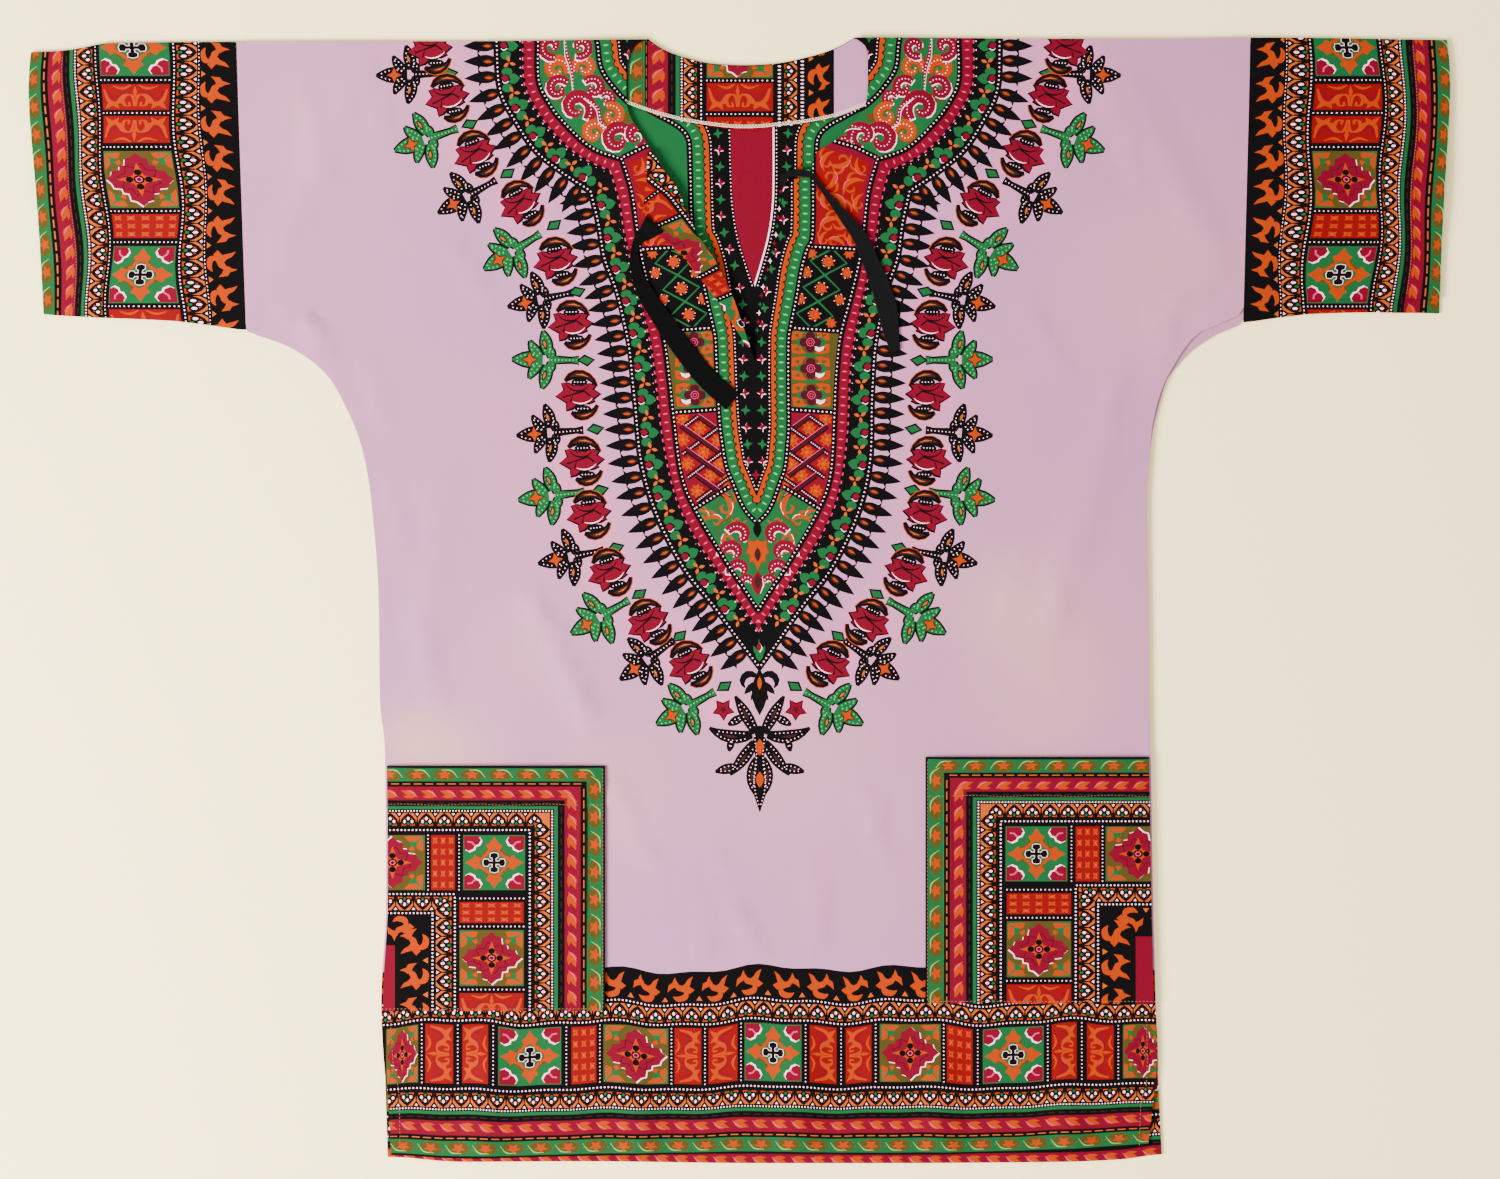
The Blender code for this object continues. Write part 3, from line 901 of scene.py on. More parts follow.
# Middle line of the yoke: height, distance across
YOKE_AXIS = (
    (-460, 17), (-56, 16.4), (0, 15.2), (32, 15), (80, 14.2), (124, 12.8), (176, 11), (204, 10.5),
    (448, 7.2), (460, 7.0),
)
yoke_axis = table_curve(YOKE_AXIS, 1)


def evenly(path, count):
    """The same path as count steps of equal length."""
    length = path_length(path)
    out = [place[:2] for place in resampled(path, length / count)]
    return (out + [path[-1]])[: count + 1]


YOKE_STEPS_TOP = 18
YOKE_STEPS_SIDE = 56


def yoke_line(top, side):
    first = evenly(smooth(top, 6), YOKE_STEPS_TOP)
    second = evenly(smooth(side, 6), YOKE_STEPS_SIDE)
    return first + second[1:]


OUTER_LINE = yoke_line(YOKE_OUTER_TOP, YOKE_OUTER_SIDE)
INNER_LINE = yoke_line(YOKE_INNER_TOP, YOKE_INNER_SIDE)


def yoke_path(share):
    """A line between the outer line, 0, and the inner line, 1, as distance from the axis and height."""
    return [
        (a + (c - a) * share, b + (d - b) * share)
        for (a, b), (c, d) in zip(OUTER_LINE, INNER_LINE)
    ]


def on_side(side, shift=(0.0, 0.0)):
    """A placer from distance from the axis and height to the garment's frame."""
    return lambda u, v: (float(yoke_axis(v)) + side * u + shift[0], v + shift[1])


def both_sides(sheet, ink, path, shift=(0.0, 0.0)):
    """Everything between a line and its mirror image, from the shoulder to their common end."""
    left = [on_side(-1, shift)(u, v) for u, v in path]
    right = [on_side(1, shift)(u, v) for u, v in path]
    sheet.add(ink, left + right[::-1][1:])


def yoke_band(sheet, ink, share, shift=(0.0, 0.0)):
    """Everything inside the line at that share, on both sides."""
    both_sides(sheet, ink, yoke_path(share), shift)


def path_dots(sheet, ink, path, pitch, r, place, start=0.0, sides=4):
    for x, y, dx, dy in resampled(path, pitch, start):
        dot(sheet, ink, x, y, r, place, sides)


# Spear round the yoke: length, half widths at its root and its widest, and where it is widest
SPEAR = (25.4, 2.9, 5.0, 0.27)


def spear(sheet, place):
    length, root, widest, belly = SPEAR
    half = []
    for n in range(9):
        s = n / 8
        if s < belly:
            half.append((length * s, root + (widest - root) * math.sin(math.pi / 2 * s / belly)))
        else:
            half.append((length * s, widest * math.cos(math.pi / 2 * (s - belly) / (1 - belly))))
    sheet.add("black", mirrored(half), place)
    for up in (-1, 1):
        stroke(sheet, "black", [(12.4, 3.4 * up), (13.8, 7.0 * up)], [3.0, 0.3], place)
    sheet.add("brown", lens(0.8, 0.6, 10.0, 0.2, 2.2, 4), place)
    sheet.add("orange", lens(2.6, 0.8, 9.0, 0.4, 1.05, 4, 0.3), place)


def half_flower(sheet, place):
    """A green flower cut by the dotted line: two round petals, a pointed one and a crimson drop."""
    sheet.add("green", oval(4.4, 5.8, 4.5, 3.4, 9), place)
    sheet.add("green", oval(4.0, -7.2, 4.3, 3.7, 9), place)
    sheet.add("green", lens(3.0, 0, 14.6, 0, 4.3, 5), place)
    sheet.add("black", lens(-1.0, 1.6, 7.0, -0.8, 3.7, 5), place)
    sheet.add("white", lens(0.0, 0.2, 5.2, -2.4, 2.5, 5), place)
    sheet.add("black", lens(-0.6, 1.3, 5.8, -1.2, 2.9, 5), place)
    sheet.add("crimson", lens(-0.4, 1.8, 5.6, -0.3, 2.6, 5), place)


def sprig(sheet, place):
    for turn in (100, 220, 340):
        tip = at(0, 0, turn)
        sheet.add("apricot", [place(*tip(a, b)) for a, b in lens(0.4, 0, 5.6, 0, 1.35, 4)])


# Widths along a lobe, from its root to its tip, as shares of its full width
LOBE = (0.5, 0.82, 1.0, 1.0, 0.84, 0.5, 0.06)


def lobe_spine(x, y, angle, length, bend, steps=6):
    """The middle line of a lobe that starts at an angle and turns by `bend` degrees on its way."""
    spine = [(x, y)]
    heading = math.radians(angle)
    for _ in range(steps):
        heading += math.radians(bend) / steps
        x += math.cos(heading) * length / steps
        y += math.sin(heading) * length / steps
        spine.append((x, y))
    return spine


def lobe(sheet, ink, spine, width, place, rim=0.0):
    stroke(sheet, ink, spine, [width * w + 2 * rim for w in LOBE], place)


def lobe_dots(sheet, ink, spine, width, r, place, inset=1.5):
    """A row of dots inside each edge of a lobe."""
    last = len(spine) - 1
    for side in (-1, 1):
        row = []
        for n in range(1, last):
            (ax, ay), (bx, by) = spine[n - 1], spine[n + 1]
            run = math.hypot(bx - ax, by - ay)
            wide = np.interp(n / last, np.linspace(0, 1, len(LOBE)), LOBE) * width / 2 - inset
            wide = side * max(0.0, float(wide))
            row.append((spine[n][0] - (by - ay) / run * wide, spine[n][1] + (bx - ax) / run * wide))
        path_dots(sheet, ink, row, 3.3, r, place, 0.5)


def dotted_lobes(sheet, ink, lobes, light, r, place, rim):
    """Several lobes as one form: their dark rims first, then their bodies, then their dots."""
    spines = [
        (lobe_spine(x, y, angle, length, bend), width)
        for x, y, angle, length, bend, width in lobes
    ]
    for spine, width in spines:
        lobe(sheet, "black", spine, width, place, rim)
    if ink != "black":
        for spine, width in spines:
            lobe(sheet, ink, spine, width, place)
    for spine, width in spines:
        lobe_dots(sheet, light, spine, width, r, place)


def palmette(sheet, place, ink):
    """A stem that points to its diamond, a pair of raised lobes, a pair behind and a pointed end."""
    light, r = ("white", 0.54) if ink == "black" else ("pale_green", 0.74)
    rim = 1.5 if ink == "green" else 1.0
    lobes = [(-2.0, 0.0, 180, 25, 0, 11)]
    for up in (-1, 1):
        lobes.append((4.5, 1.0 * up, 84 * up, 10, 24 * up, 6))
        lobes.append((2.0, 4.0 * up, 98 * up, 20, 8 * up, 8.4))
        lobes.append((-3.0, 2.0 * up, 146 * up, 17, -34 * up, 6.6))
    stem = [(27.0, 0), (21.0, 0), (12.0, 0), (3.0, 0)]
    stroke(sheet, "black", stem, [6.2 + rim, 3.0 + 2 * rim, 4.0 + 2 * rim, 8.0], place)
    dotted_lobes(sheet, ink, lobes, light, r, place, rim)
    stroke(sheet, ink, stem, [6.2, 3.0, 4.0, 8.0], place)
    path_dots(sheet, light, [(25.4, 0), (1.0, 0)], 2.9, r, place, 0.2)
    for up in (-1, 1):
        sheet.add("black", lens(0.6, 8.0 * up, -2.0, 17.0 * up, 1.9, 4), place)
        sheet.add("apricot", lens(0.2, 9.6 * up, -1.6, 15.6 * up, 1.0, 4), place)
    heart = star(4, 6.0, 2.6, 0.0)
    sheet.add("black", [(a - 12.5, b) for a, b in grown(heart, 0.8)], place)
    sheet.add("orange", [(a - 12.5, b) for a, b in heart], place)


def arc_points(cx, cy, radius, start, end, steps=6):
    turns = [math.radians(start + (end - start) * n / steps) for n in range(steps + 1)]
    return [(cx + radius * math.cos(turn), cy + radius * math.sin(turn)) for turn in turns]


def tulip(sheet, place):
    """A crimson bud on its side, made of pointed petals, between two curved leaves."""
    petals = (
        (-17.5, -1.0, 17.5, 1.0, 7.6), (-1.0, 1.5, -13.0, 9.0, 3.4), (-1.0, 2.5, 14.0, 7.4, 3.4),
        (-1.0, -1.5, -9.0, -12.0, 3.4), (-2.0, -1.5, 13.0, -5.0, 3.0),
    )
    leaves = (
        (arc_points(1.0, 2.0, 14.4, 142, 18), (0.6, 4.4, 5.6, 4.2, 2.2, 0.5)),
        (arc_points(3.0, -3.4, 13.4, -20, -128), (0.5, 2.2, 4.2, 5.6, 4.4, 0.6)),
    )
    for spine, widths in leaves:
        stroke(
            sheet, "orange", [(a * 1.06, b * 1.05) for a, b in spine], [w + 1.6 for w in widths],
            place
        )
        stroke(sheet, "black", spine, [w + 2.0 for w in widths], place)
        stroke(sheet, "brown", spine[1:-1], [w * 0.7 for w in widths], place)
        stroke(sheet, "apricot", spine[2:-2], [0.3, 1.3, 0.3], place)
    for cx, cy in ((1.2, 10.2), (4.0, -11.0)):
        sheet.add("black", oval(cx, cy, 6.8, 3.0, 9), place)
        for n in range(4):
            dot(sheet, "white", cx - 3.8 + 2.5 * n, cy, 0.54, place, 4)
    for x0, y0, x1, y1, half in petals:
        sheet.add(
            "black", [(a + 0.4, b - 0.4) for a, b in grown(lens(x0, y0, x1, y1, half, 4), 1.3)], place
        )
    for x0, y0, x1, y1, half in petals:
        sheet.add("crimson", lens(x0, y0, x1, y1, half, 4), place)
    stroke(sheet, "white", arc_points(2.0, 6.0, 13.0, -118, -42), [0.2, 0.9, 0.9, 0.2], place)
    stroke(sheet, "black", arc_points(0.0, 14.0, 11.0, -150, -38), [0.5, 1.4, 0.5], place)
    stroke(sheet, "black", [(-12.0, -2.0), (-4.0, 0.4), (-6.0, -6.0)], 1.3, place)
    stroke(sheet, "black", [(-4.0, 0.4), (5.0, 3.0), (10.0, -1.0)], 1.3, place)


def diamond(sheet, place):
    outline = [(-7.2, 0), (-1.4, 4.4), (7.2, 0.6), (1.4, -4.6)]
    sheet.add("black", grown(outline, 0.8), place)
    sheet.add("green", [(a * 0.8, b * 0.76) for a, b in outline], place)


# Motifs round the yoke, from the shoulder down: distance from the axis, height; the
# palmette's stem points to its diamond
PALMETTES = (
    (270.7, 420.4, 238.9, 421.4),
    (258.5, 368.4, 223.4, 380.7),
    (226.3, 322.8, 193.7, 341.2),
    (190.8, 278.8, 157.0, 299.9),
    (168.8, 240.4, 139.2, 246.8),
    (165.4, 192.4, 133.0, 191.9),
    (163.6, 134.0, 127.1, 137.0),
    (164.0, 83.6, 124.8, 88.4),
    (149.3, 34.8, 113.3, 42.2),
    (126.5, -13.2, 94.8, 5.0),
    (89.8, -47.6, 63.3, -28.6),
    (59.2, -86.0, 28.1, -68.6),
)
# Tulips: distance from the axis, height, tilt
TULIPS = (
    (254.5, 440.4, 4),
    (241.3, 401.2, 11),
    (219.5, 356.4, 20),
    (183.9, 316.4, 27),
    (156.5, 270.8, 10),
    (145.1, 220.4, 2),
    (140.1, 164.4, 0),
    (139.0, 111.6, 2),
    (134.6, 68.4, 8),
    (119.0, 22.0, 17),
    (88.5, -18.0, 25),
    (56.5, -51.6, 25),
)


def round_the_yoke(sheet):
    outer = yoke_path(0.0)
    for side in (-1, 1):
        place = on_side(side)
        for u, v, du, dv in resampled(outer, 12.6, 6.0):
            if v > 447 or v < -50:
                continue
            x, y = place(u, v)
            spear(sheet, at(x, y, math.degrees(math.atan2(du, -side * dv))))
        for n, (u, v, du, dv) in enumerate(PALMETTES):
            x, y = place(u, v)
            dx, dy = place(du, dv)
            angle = math.degrees(math.atan2(dy - y, dx - x))
            palmette(sheet, at(x, y, angle, 1.0, -side), "black" if n % 2 == 0 else "green")
            diamond(sheet, at(dx, dy, angle, 0.95, -side))
        for u, v, tilt in TULIPS:
            x, y = place(u, v)
            angle = tilt if side < 0 else 180 - tilt
            tulip(sheet, at(x, y, angle, 1.0, -side))


# Ring round the neck and the slit, its dotted outer line: distance from the axis, height
RING = (
    (121.5, 452), (120, 442.8), (
        117.4, 424.4
    ), (105.9, 407.6), (95.4, 397.2), (85.8, 390.8), (74.5, 384.4),
    (59.5, 376), (52, 367), (50.6, 352.4), (49.6, 293.2), (45, 281.2), (40, 263.6), (35.8, 241.2),
    (30.7, 218), (29, 204.4), (27.7, 144.4), (25.9, 124.4), (23.3, 106), (18.6, 94), (13.4, 80),
    (8.0, 70), (0, 62),
)
RING_LINE = evenly(smooth(RING, 3), 130)
# Places across the ring, in from its dotted line
RING_GREEN = 2.0
RING_SCALLOP = 9.3
RING_ORANGE = 10.4
RING_BLACK = 13.6
RING_DOTS = 15.2
RING_STARS = 21.4
# Centre panel inside the slit: distance from the axis, height
CENTRE = ((17.2, 452), (17.2, 390), (16.6, 330), (14.8, 305), (11.2, 285), (5.4, 265), (0, 248))


def ring_path(depth):
    """The ring's line moved in toward the axis."""
    out = []
    count = len(RING_LINE)
    for n, (u, v) in enumerate(RING_LINE):
        au, av = RING_LINE[max(n - 2, 0)]
        bu, bv = RING_LINE[min(n + 2, count - 1)]
        length = math.hypot(bu - au, bv - av)
        wide = depth * (1 + 0.12 * float(eased((v - 200) / 60)))
        nu, nv = (bv - av) / length, -(bu - au) / length
        out.append((max(u + nu * wide, 0.0), v + nv * wide))
    low = min(v for u, v in out)
    foot = [p for p in out if p[0] > 0.01 or p[1] > 430]
    ends = [v for u, v in out if u <= 0.01 and v < 430]
    return foot + [(0.0, max(ends) if ends else low)]


def span_of(path, high, low):
    """The part of a falling path between two heights, with its exact ends."""
    falling = [p for p in path if p[1] < 372]
    heights = [-v for u, v in falling]
    across = [u for u, v in falling]
    inside = [p for p in falling if low < p[1] < high]
    first = (float(np.interp(-high, heights, across)), high)
    last = (float(np.interp(-low, heights, across)), low)
    return [first] + inside + [last]


def panel_outline(top_in, top_out, low_in, low_out):
    near = span_of(RING_LINE, top_in, low_in)
    far = span_of(yoke_path(0.99), top_out, low_out)
    return near + far[::-1]


def curl(sheet, place, ink, x, y, r, start, flip, turns=1.15):
    """A rolled leaf: a spiral stroke with a pale scalloped rim and white dots on its spine."""
    path = []
    steps = 14
    for n in range(steps + 1):
        t = n / steps
        angle = math.radians(start) + flip * 2 * math.pi * turns * t
        radius = r * (0.92 - 0.72 * t ** 0.8)
        path.append((x + radius * math.cos(angle), y + radius * math.sin(angle)))
    widths = [
        r * 0.74 * math.sin(math.pi * min(1.0, 0.24 + 0.8 * n / steps)) ** 0.7 + (0.5 if n % 2 else 0)
        for n in range(steps + 1)
    ]
    rim = "white" if ink == "crimson" else "olive"
    stroke(sheet, rim, [(a + 0.7, b - 0.9) for a, b in path[:-4]], widths[:-4], place)
    stroke(sheet, ink, path, widths, place)
    path_dots(sheet, "white", path[:-1], 2.7, 0.55, place, 1.0, 5)


def plume(sheet, place, ink, points, width, dotted=True):
    path = smooth(points, 4)
    if ink == "crimson":
        stroke(
            sheet, "white", [(a + 0.4, b - 0.8) for a, b in path], [0.2, width, width * 0.8, 0.2],
            place
        )
    stroke(sheet, ink, path, [0.3, width, width * 0.9, 0.3], place)
    if dotted:
        path_dots(sheet, "white", path, 2.7, 0.55, place, 1.6, 5)


def shoulder_panel(sheet, place):
    for a, b, r in ((150, 402, 6), (128, 398, 5), (118, 380, 6), (98, 386, 5), (140, 430, 5)):
        sheet.add("olive", oval(a, b, r, r * 0.8, 8), place)
    for ink, u, v, r, start, flip in (
        ("orange", 153.4, 424.6, 9.6, 200, -1),
        ("orange", 131.0, 425.6, 8.6, -20, 1),
        ("crimson", 157.5, 443.0, 9.0, 250, 1),
        ("crimson", 133.5, 442.4, 8.0, -60, -1),
        ("crimson", 152.4, 409.2, 8.6, 150, -1),
        ("crimson", 123.6, 410.0, 8.0, 30, 1),
        ("crimson", 137.4, 394.0, 12.4, 230, -1),
        ("crimson", 112.6, 400.8, 6.0, 20, 1),
        ("orange", 109.6, 387.4, 8.6, 60, 1),
        ("orange", 124.4, 373.8, 8.8, 180, -1),
        ("crimson", 105.2, 368.6, 11.4, 170, -1),
        ("crimson", 90.4, 371.6, 10.4, 260, -1),
        ("crimson", 74.6, 366.2, 5.6, 240, 1),
    ):
        curl(sheet, place, ink, u, v, r * 1.16, start, flip)
    plume(sheet, place, "crimson", ((146.6, 450), (144.6, 436), (141.2, 424), (140.4, 408)), 3.4)
    plume(sheet, place, "crimson", ((132, 402), (121, 394), (118.6, 383), (114, 378)), 3.2)
    plume(sheet, place, "crimson", ((58, 371.6), (70, 375.6), (80, 379.6), (89, 377)), 6.4)


def flame(sheet, place, x, y, size, turn, ink="orange", light="pink"):
    """A flame leaf with one curled side tongue."""
    here = at(x, y, turn, size, 1, place)
    stroke(
        sheet, ink, smooth([(-1.1, -0.35), (-0.5, 0.1), (0.1, 0.16), (0.7, -0.1), (1.15, -0.62)], 3),
        [0.05, 0.36, 0.5, 0.34, 0.03], here
    )
    stroke(
        sheet, ink, smooth([(-0.2, 0.1), (0.2, 0.5), (0.7, 0.62), (1.1, 0.36)], 3),
        [0.1, 0.26, 0.22, 0.03], here
    )
    stroke(
        sheet, ink, smooth([(-0.6, -0.02), (-0.52, -0.5), (-0.12, -0.66), (0.1, -0.42)], 3),
        [0.08, 0.2, 0.22, 0.05], here
    )
    stroke(sheet, light, smooth([(-0.8, 0.04), (-0.3, 0.36), (0.2, 0.34)], 3), [0.03, 0.09, 0.03], here)


def red_panel(sheet, place):
    sheet.add("crimson", panel_outline(370, 355, 282.6, 280.6), place)
    inner = span_of(RING_LINE, 364, 285)
    outer = span_of(yoke_path(1.0), 350, 284)
    sheet.add("red", [(u + 3, v) for u, v in inner] + [(u - 3, v) for u, v in outer[::-1]], place)
    for x, y, size, turn in (
        (60, 352, 8, 70), (74, 349, 9, 205), (87, 345, 7, 120), (66, 336, 9, 250), (80, 333, 9, 40),
        (59, 320, 8, 100), (72, 318, 10, 300), (85, 318, 7, 80), (62, 303, 9, 30), (76, 301, 9, 160),
        (57, 289, 6, 80), (68, 288, 7, 350), (80, 288, 7, 100),
    ):
        flame(sheet, place, x, y, size, turn)


def green_lattice(sheet, place):
    """Three diamonds joined at their corners, an eight-pointed star in each and between them."""
    sheet.add("black", panel_outline(282.6, 280.6, 218, 215.4), place)
    centres = ((61.9, 270.6), (56.0, 249.4), (50.3, 228.4))
    joints = ((65.2, 281.2), (58.8, 260.0), (53.2, 238.9), (47.6, 217.6))
    for (u, v), above, below in zip(centres, joints, joints[1:]):
        corners = [above, (u + 14.6, v - 1.2), below, (u - 14.4, v + 1.0)]
        stroke(sheet, "green", corners + [above], 1.7, place)
    spare = [
        (76.4, 261.8), (44.4, 262.2), (70.4, 240.4), (39.0, 241.0), (63.4, 221.6), (48.6, 277.4),
        (78.6, 277.4)
    ]
    for n, (u, v) in enumerate(list(centres) + spare):
        size = 1.04 if n < 3 else 0.9
        sheet.add("orange", [(u + a, v + b) for a, b in star(8, 5.4 * size, 3.3 * size, 0.2)], place)
        if n < 7:
            path_dots(sheet, "white", oval(u, v, 5.0 * size, 5.0 * size, 9), 4.6, 0.5, place, 1.0, 4)
        sheet.add("red", oval(u, v, 1.1, 1.1, 5), place)
        dot(sheet, "pink", u + 0.2, v, 0.7, place)


def flower_panel(sheet, place):
    sheet.add("olive", panel_outline(218, 215.4, 152.6, 150.4), place)
    centre = 46.6
    for v in (206.4, 185.4, 164.2):
        for du in (-1, 1):
            for dv in (-1, 1):
                wing = [(8, 2.2), (15.4, 1.4), (14.8, 8.4), (9.0, 9.6), (3.4, 9.0), (6.4, 6.0)]
                sheet.add("orange", [(centre + a * du, v + b * dv) for a, b in wing], place)
                tongue = [(9.6, 3.4), (13.4, 6.2), (9.0, 6.8)]
                sheet.add("olive", [(centre + a * du, v + b * dv) for a, b in tongue], place)
        sheet.add("white", oval(centre + 6.6, v - 1.6, 5.0, 6.0, 8), place)
        sheet.add("green", oval(centre + 7.4, v, 5.4, 4.4, 8), place)
        sheet.add("green", oval(centre - 7.4, v, 4.4, 3.8, 8), place)
    for v in (195.8, 174.8, 154.6, 214.8):
        sheet.add(
            "green",
            [
                (centre - 15, v + 0.8), (centre, v - 1.8), (centre + 15, v + 0.8),
                (centre + 15, v - 0.8), (centre, v + 1.8), (centre - 15, v - 0.8)
            ],
            place
        )
    for v in (206.4, 185.4, 164.2):
        for n in range(4):
            turn = math.pi / 2 * n
            sheet.add(
                "maroon",
                oval(centre + 5.0 * math.cos(turn), v + 4.8 * math.sin(turn), 4.0, 3.8, 8, 0.2), place
            )
        sheet.add("pink", oval(centre, v, 3.5, 3.5, 8), place)
        sheet.add("maroon", oval(centre, v, 2.9, 2.9, 8), place)
        sheet.add("pink", oval(centre, v, 1.8, 1.8, 6), place)
        sheet.add("maroon", oval(centre, v, 1.3, 1.3, 6), place)


def red_lattice(sheet, place):
    sheet.add("crimson", panel_outline(152.6, 150.4, 90, 74.6), place)
    centres = ((43.7, 137.6), (41.4, 118.4), (36.4, 99.8))
    for u, v in centres + (
        (57.6, 128.6), (54.4, 109.2), (47.4, 87.6), (29.6, 128), (28.6, 109), (24.6, 96), (57, 145)
    ):
        sheet.add("red", [(u + a * 1.5, v + b) for a, b in oval(0, 0, 6.4, 6.4, 4)], place)
        sheet.add("orange", [(u + a, v + b) for a, b in star(8, 6.0, 3.8, 0.2)], place)
        for n in range(4):
            turn = 0.6 + math.pi / 2 * n
            dot(sheet, "red", u + 3.0 * math.cos(turn), v + 2.6 * math.sin(turn), 0.7, place)
        dot(sheet, "apricot", u, v, 1.2, place)
    crossings = ((44.6, 147.2), (42.8, 128), (39.4, 109.2), (33.6, 89.6))
    for u, v in crossings:
        for lean in (-1, 1):
            reach = (-11.5, 14.6) if v < 100 else (-13.6, 15.4)
            line = [(u + a, v + a * lean * 0.72) for a in reach]
            if v > 140:
                line = [(u, v), (u - lean * 13.6, v - 9.8)]
            stroke(sheet, "black", line, 4.2, place)
            stroke(sheet, "maroon", line, 2.2, place)
            if lean > 0:
                stroke(sheet, "pink", [(a - 0.3, b + 2.3) for a, b in line], 0.6, place)
            else:
                path_dots(sheet, "white", line, 1.9, 0.55, place, 0.6, 4)


def lotus_panel(sheet):
    """The panel in the point of the yoke, with a lotus on its axis."""
    for side in (-1, 1):
        place = on_side(side)
        for x, y, size, turn in (
            (22.6, 76, 9.4, 84), (33.6, 66, 7.4, 10), (41.4, 70, 5.0, 40), (25.6, 46, 9.0, 260),
            (15, 62, 5.4, 190)
        ):
            flame(sheet, place, x, y, size, turn, "orange", "white")
        stroke(
            sheet, "olive",
            smooth([(24, 92), (17.6, 79), (21.6, 66), (28.6, 62), (31, 54), (26, 40)], 3),
            [0.3, 1.3, 1.6, 1.6, 1.3, 0.3], place
        )
        stroke(sheet, "olive", smooth([(27.4, 90), (31.6, 76), (27, 64)], 3), [0.3, 1.5, 0.4], place)
        for u, v, r, start in (
            (14.6, 52.0, 10.6, 20), (20.0, 37.6, 10.8, -10), (14.4, 24.0, 9.6, -20),
            (7.8, 14.8, 7.0, -40)
        ):
            curl(sheet, place, "crimson", u, v, r, start, 1, 0.8)
    place = on_side(1)
    lotus = [
        (0, 12), (3.4, 10.6), (7.6, 11.4), (7.2, 6.4), (9.2, 1.6), (6.0, 0.2), (6.6, -5.4),
        (3.2, -5.2), (0, -12)
    ]
    palm = [(u, 36.4 + v) for u, v in lotus] + [(-u, 36.4 + v) for u, v in lotus[::-1][1:-1]]
    sheet.add("olive", grown(palm, 1.0), place)
    sheet.add("orange", palm, place)
    for low, high, half, ink in (
        (31, 42.6, 2.6, "brown"), (50, 64, 3.4, "black"), (4, 24, 5.2, "crimson"),
        (9, 21, 2.8, "brown")
    ):
        sheet.add(ink, lens(0, low, 0, high, half, 5), place)
    stroke(sheet, "white", [(1.8, 5.4), (4.6, 12), (3.6, 19)], [0.3, 1.0, 0.2], place)


def dotted_line(sheet, path, place, thick=4.4, pitch=3.4, r=0.75):
    stroke(sheet, "black", path, thick, place)
    path_dots(sheet, "white", path, pitch, r, place, 1.5, 5)


def ring(sheet, shift):
    both_sides(sheet, "black", ring_path(-2.2), shift)
    both_sides(sheet, "green", ring_path(RING_GREEN), shift)
    for side in (-1, 1):
        place = on_side(side, shift)
        path_dots(sheet, "white", RING_LINE, 3.3, 0.72, place)
        for u, v, du, dv in resampled(ring_path((RING_GREEN + RING_SCALLOP) / 2), 6.4, 3.0):
            x, y = place(u, v)
            across = math.degrees(math.atan2(-du, side * dv))
            sheet.add("pale_green", lens(-2.3, 0, 2.3, 0, 0.8, 4), at(x, y, across))
    both_sides(sheet, "black", ring_path(RING_SCALLOP + 0.8), shift)
    for ink, r in (("black", 3.5), ("orange", 2.7)):
        for side in (-1, 1):
            for u, v, du, dv in resampled(ring_path(RING_ORANGE + 1.6), 6.2, 1.0):
                sheet.add(ink, oval(u, v, r, r, 8), on_side(side, shift))
    both_sides(sheet, "orange", ring_path(RING_ORANGE + 0.9), shift)
    both_sides(sheet, "black", ring_path(RING_BLACK), shift)
    for side in (-1, 1):
        place = on_side(side, shift)
        path_dots(sheet, "white", ring_path(RING_DOTS), 3.0, 0.62, place)


def slit_stars(sheet, shift):
    inks = ("green", "crimson")
    for side in (-1, 1):
        place = on_side(side, shift)
        heights = [450 - 13.2 * n for n in range(15)] + [247.6 - 13.6 * n for n in range(4)]
        heights += [193.2 - 13.6 * n for n in range(7)]
        for n, v in enumerate(heights):
            line = ring_path(RING_STARS) if v > 262 else None
            if line:
                near = min(line, key=lambda p: abs(p[1] - v) + (0 if p[0] < 34 or v > 385 else 40))
                u = near[0]
            else:
                u = 5.2 + 2.0 * max(0.0, (v - 100) / 100) + max(0.0, v - 215) * 0.11
            if u > 110:
                continue
            tilt = 0.1 if n % 3 else -0.12
            sheet.add(
                "white" if n % 2 else inks[n % 2],
                [(u + a + 0.5, v + b - 0.7) for a, b in star(4, 3.9, 1.3, tilt + math.pi / 2)], place
            )
            sheet.add(
                inks[n % 2], [(u + a, v + b) for a, b in star(4, 4.1, 1.4, tilt + math.pi / 2)], place
            )
    place = on_side(1, shift)
    sheet.add("crimson", [(a, 100.4 + b) for a, b in star(4, 4.6, 1.6, math.pi / 2)], place)


def yoke_band_motifs(sheet):
    """Half flowers and sprigs in turn along the black band, dots on both its edges."""
    for side in (-1, 1):
        place = on_side(side)
        path_dots(sheet, "white", yoke_path(0.05), 3.4, 0.75, place)
        for n, (u, v, du, dv) in enumerate(resampled(yoke_path(0.13), 13.2, 7.0)):
            if v < -24:
                continue
            x, y = place(u, v)
            inward = math.degrees(math.atan2(-du, side * dv))
            if n % 2 == 0:
                half_flower(sheet, at(x, y, inward, 1.0, -side))
            else:
                sx = x + math.cos(math.radians(inward)) * 6.5
                sy = y + math.sin(math.radians(inward)) * 6.5
                sprig(sheet, at(sx, sy, inward))
        path_dots(sheet, "white", yoke_path(0.56), 7.0, 0.62, place, 3.0)


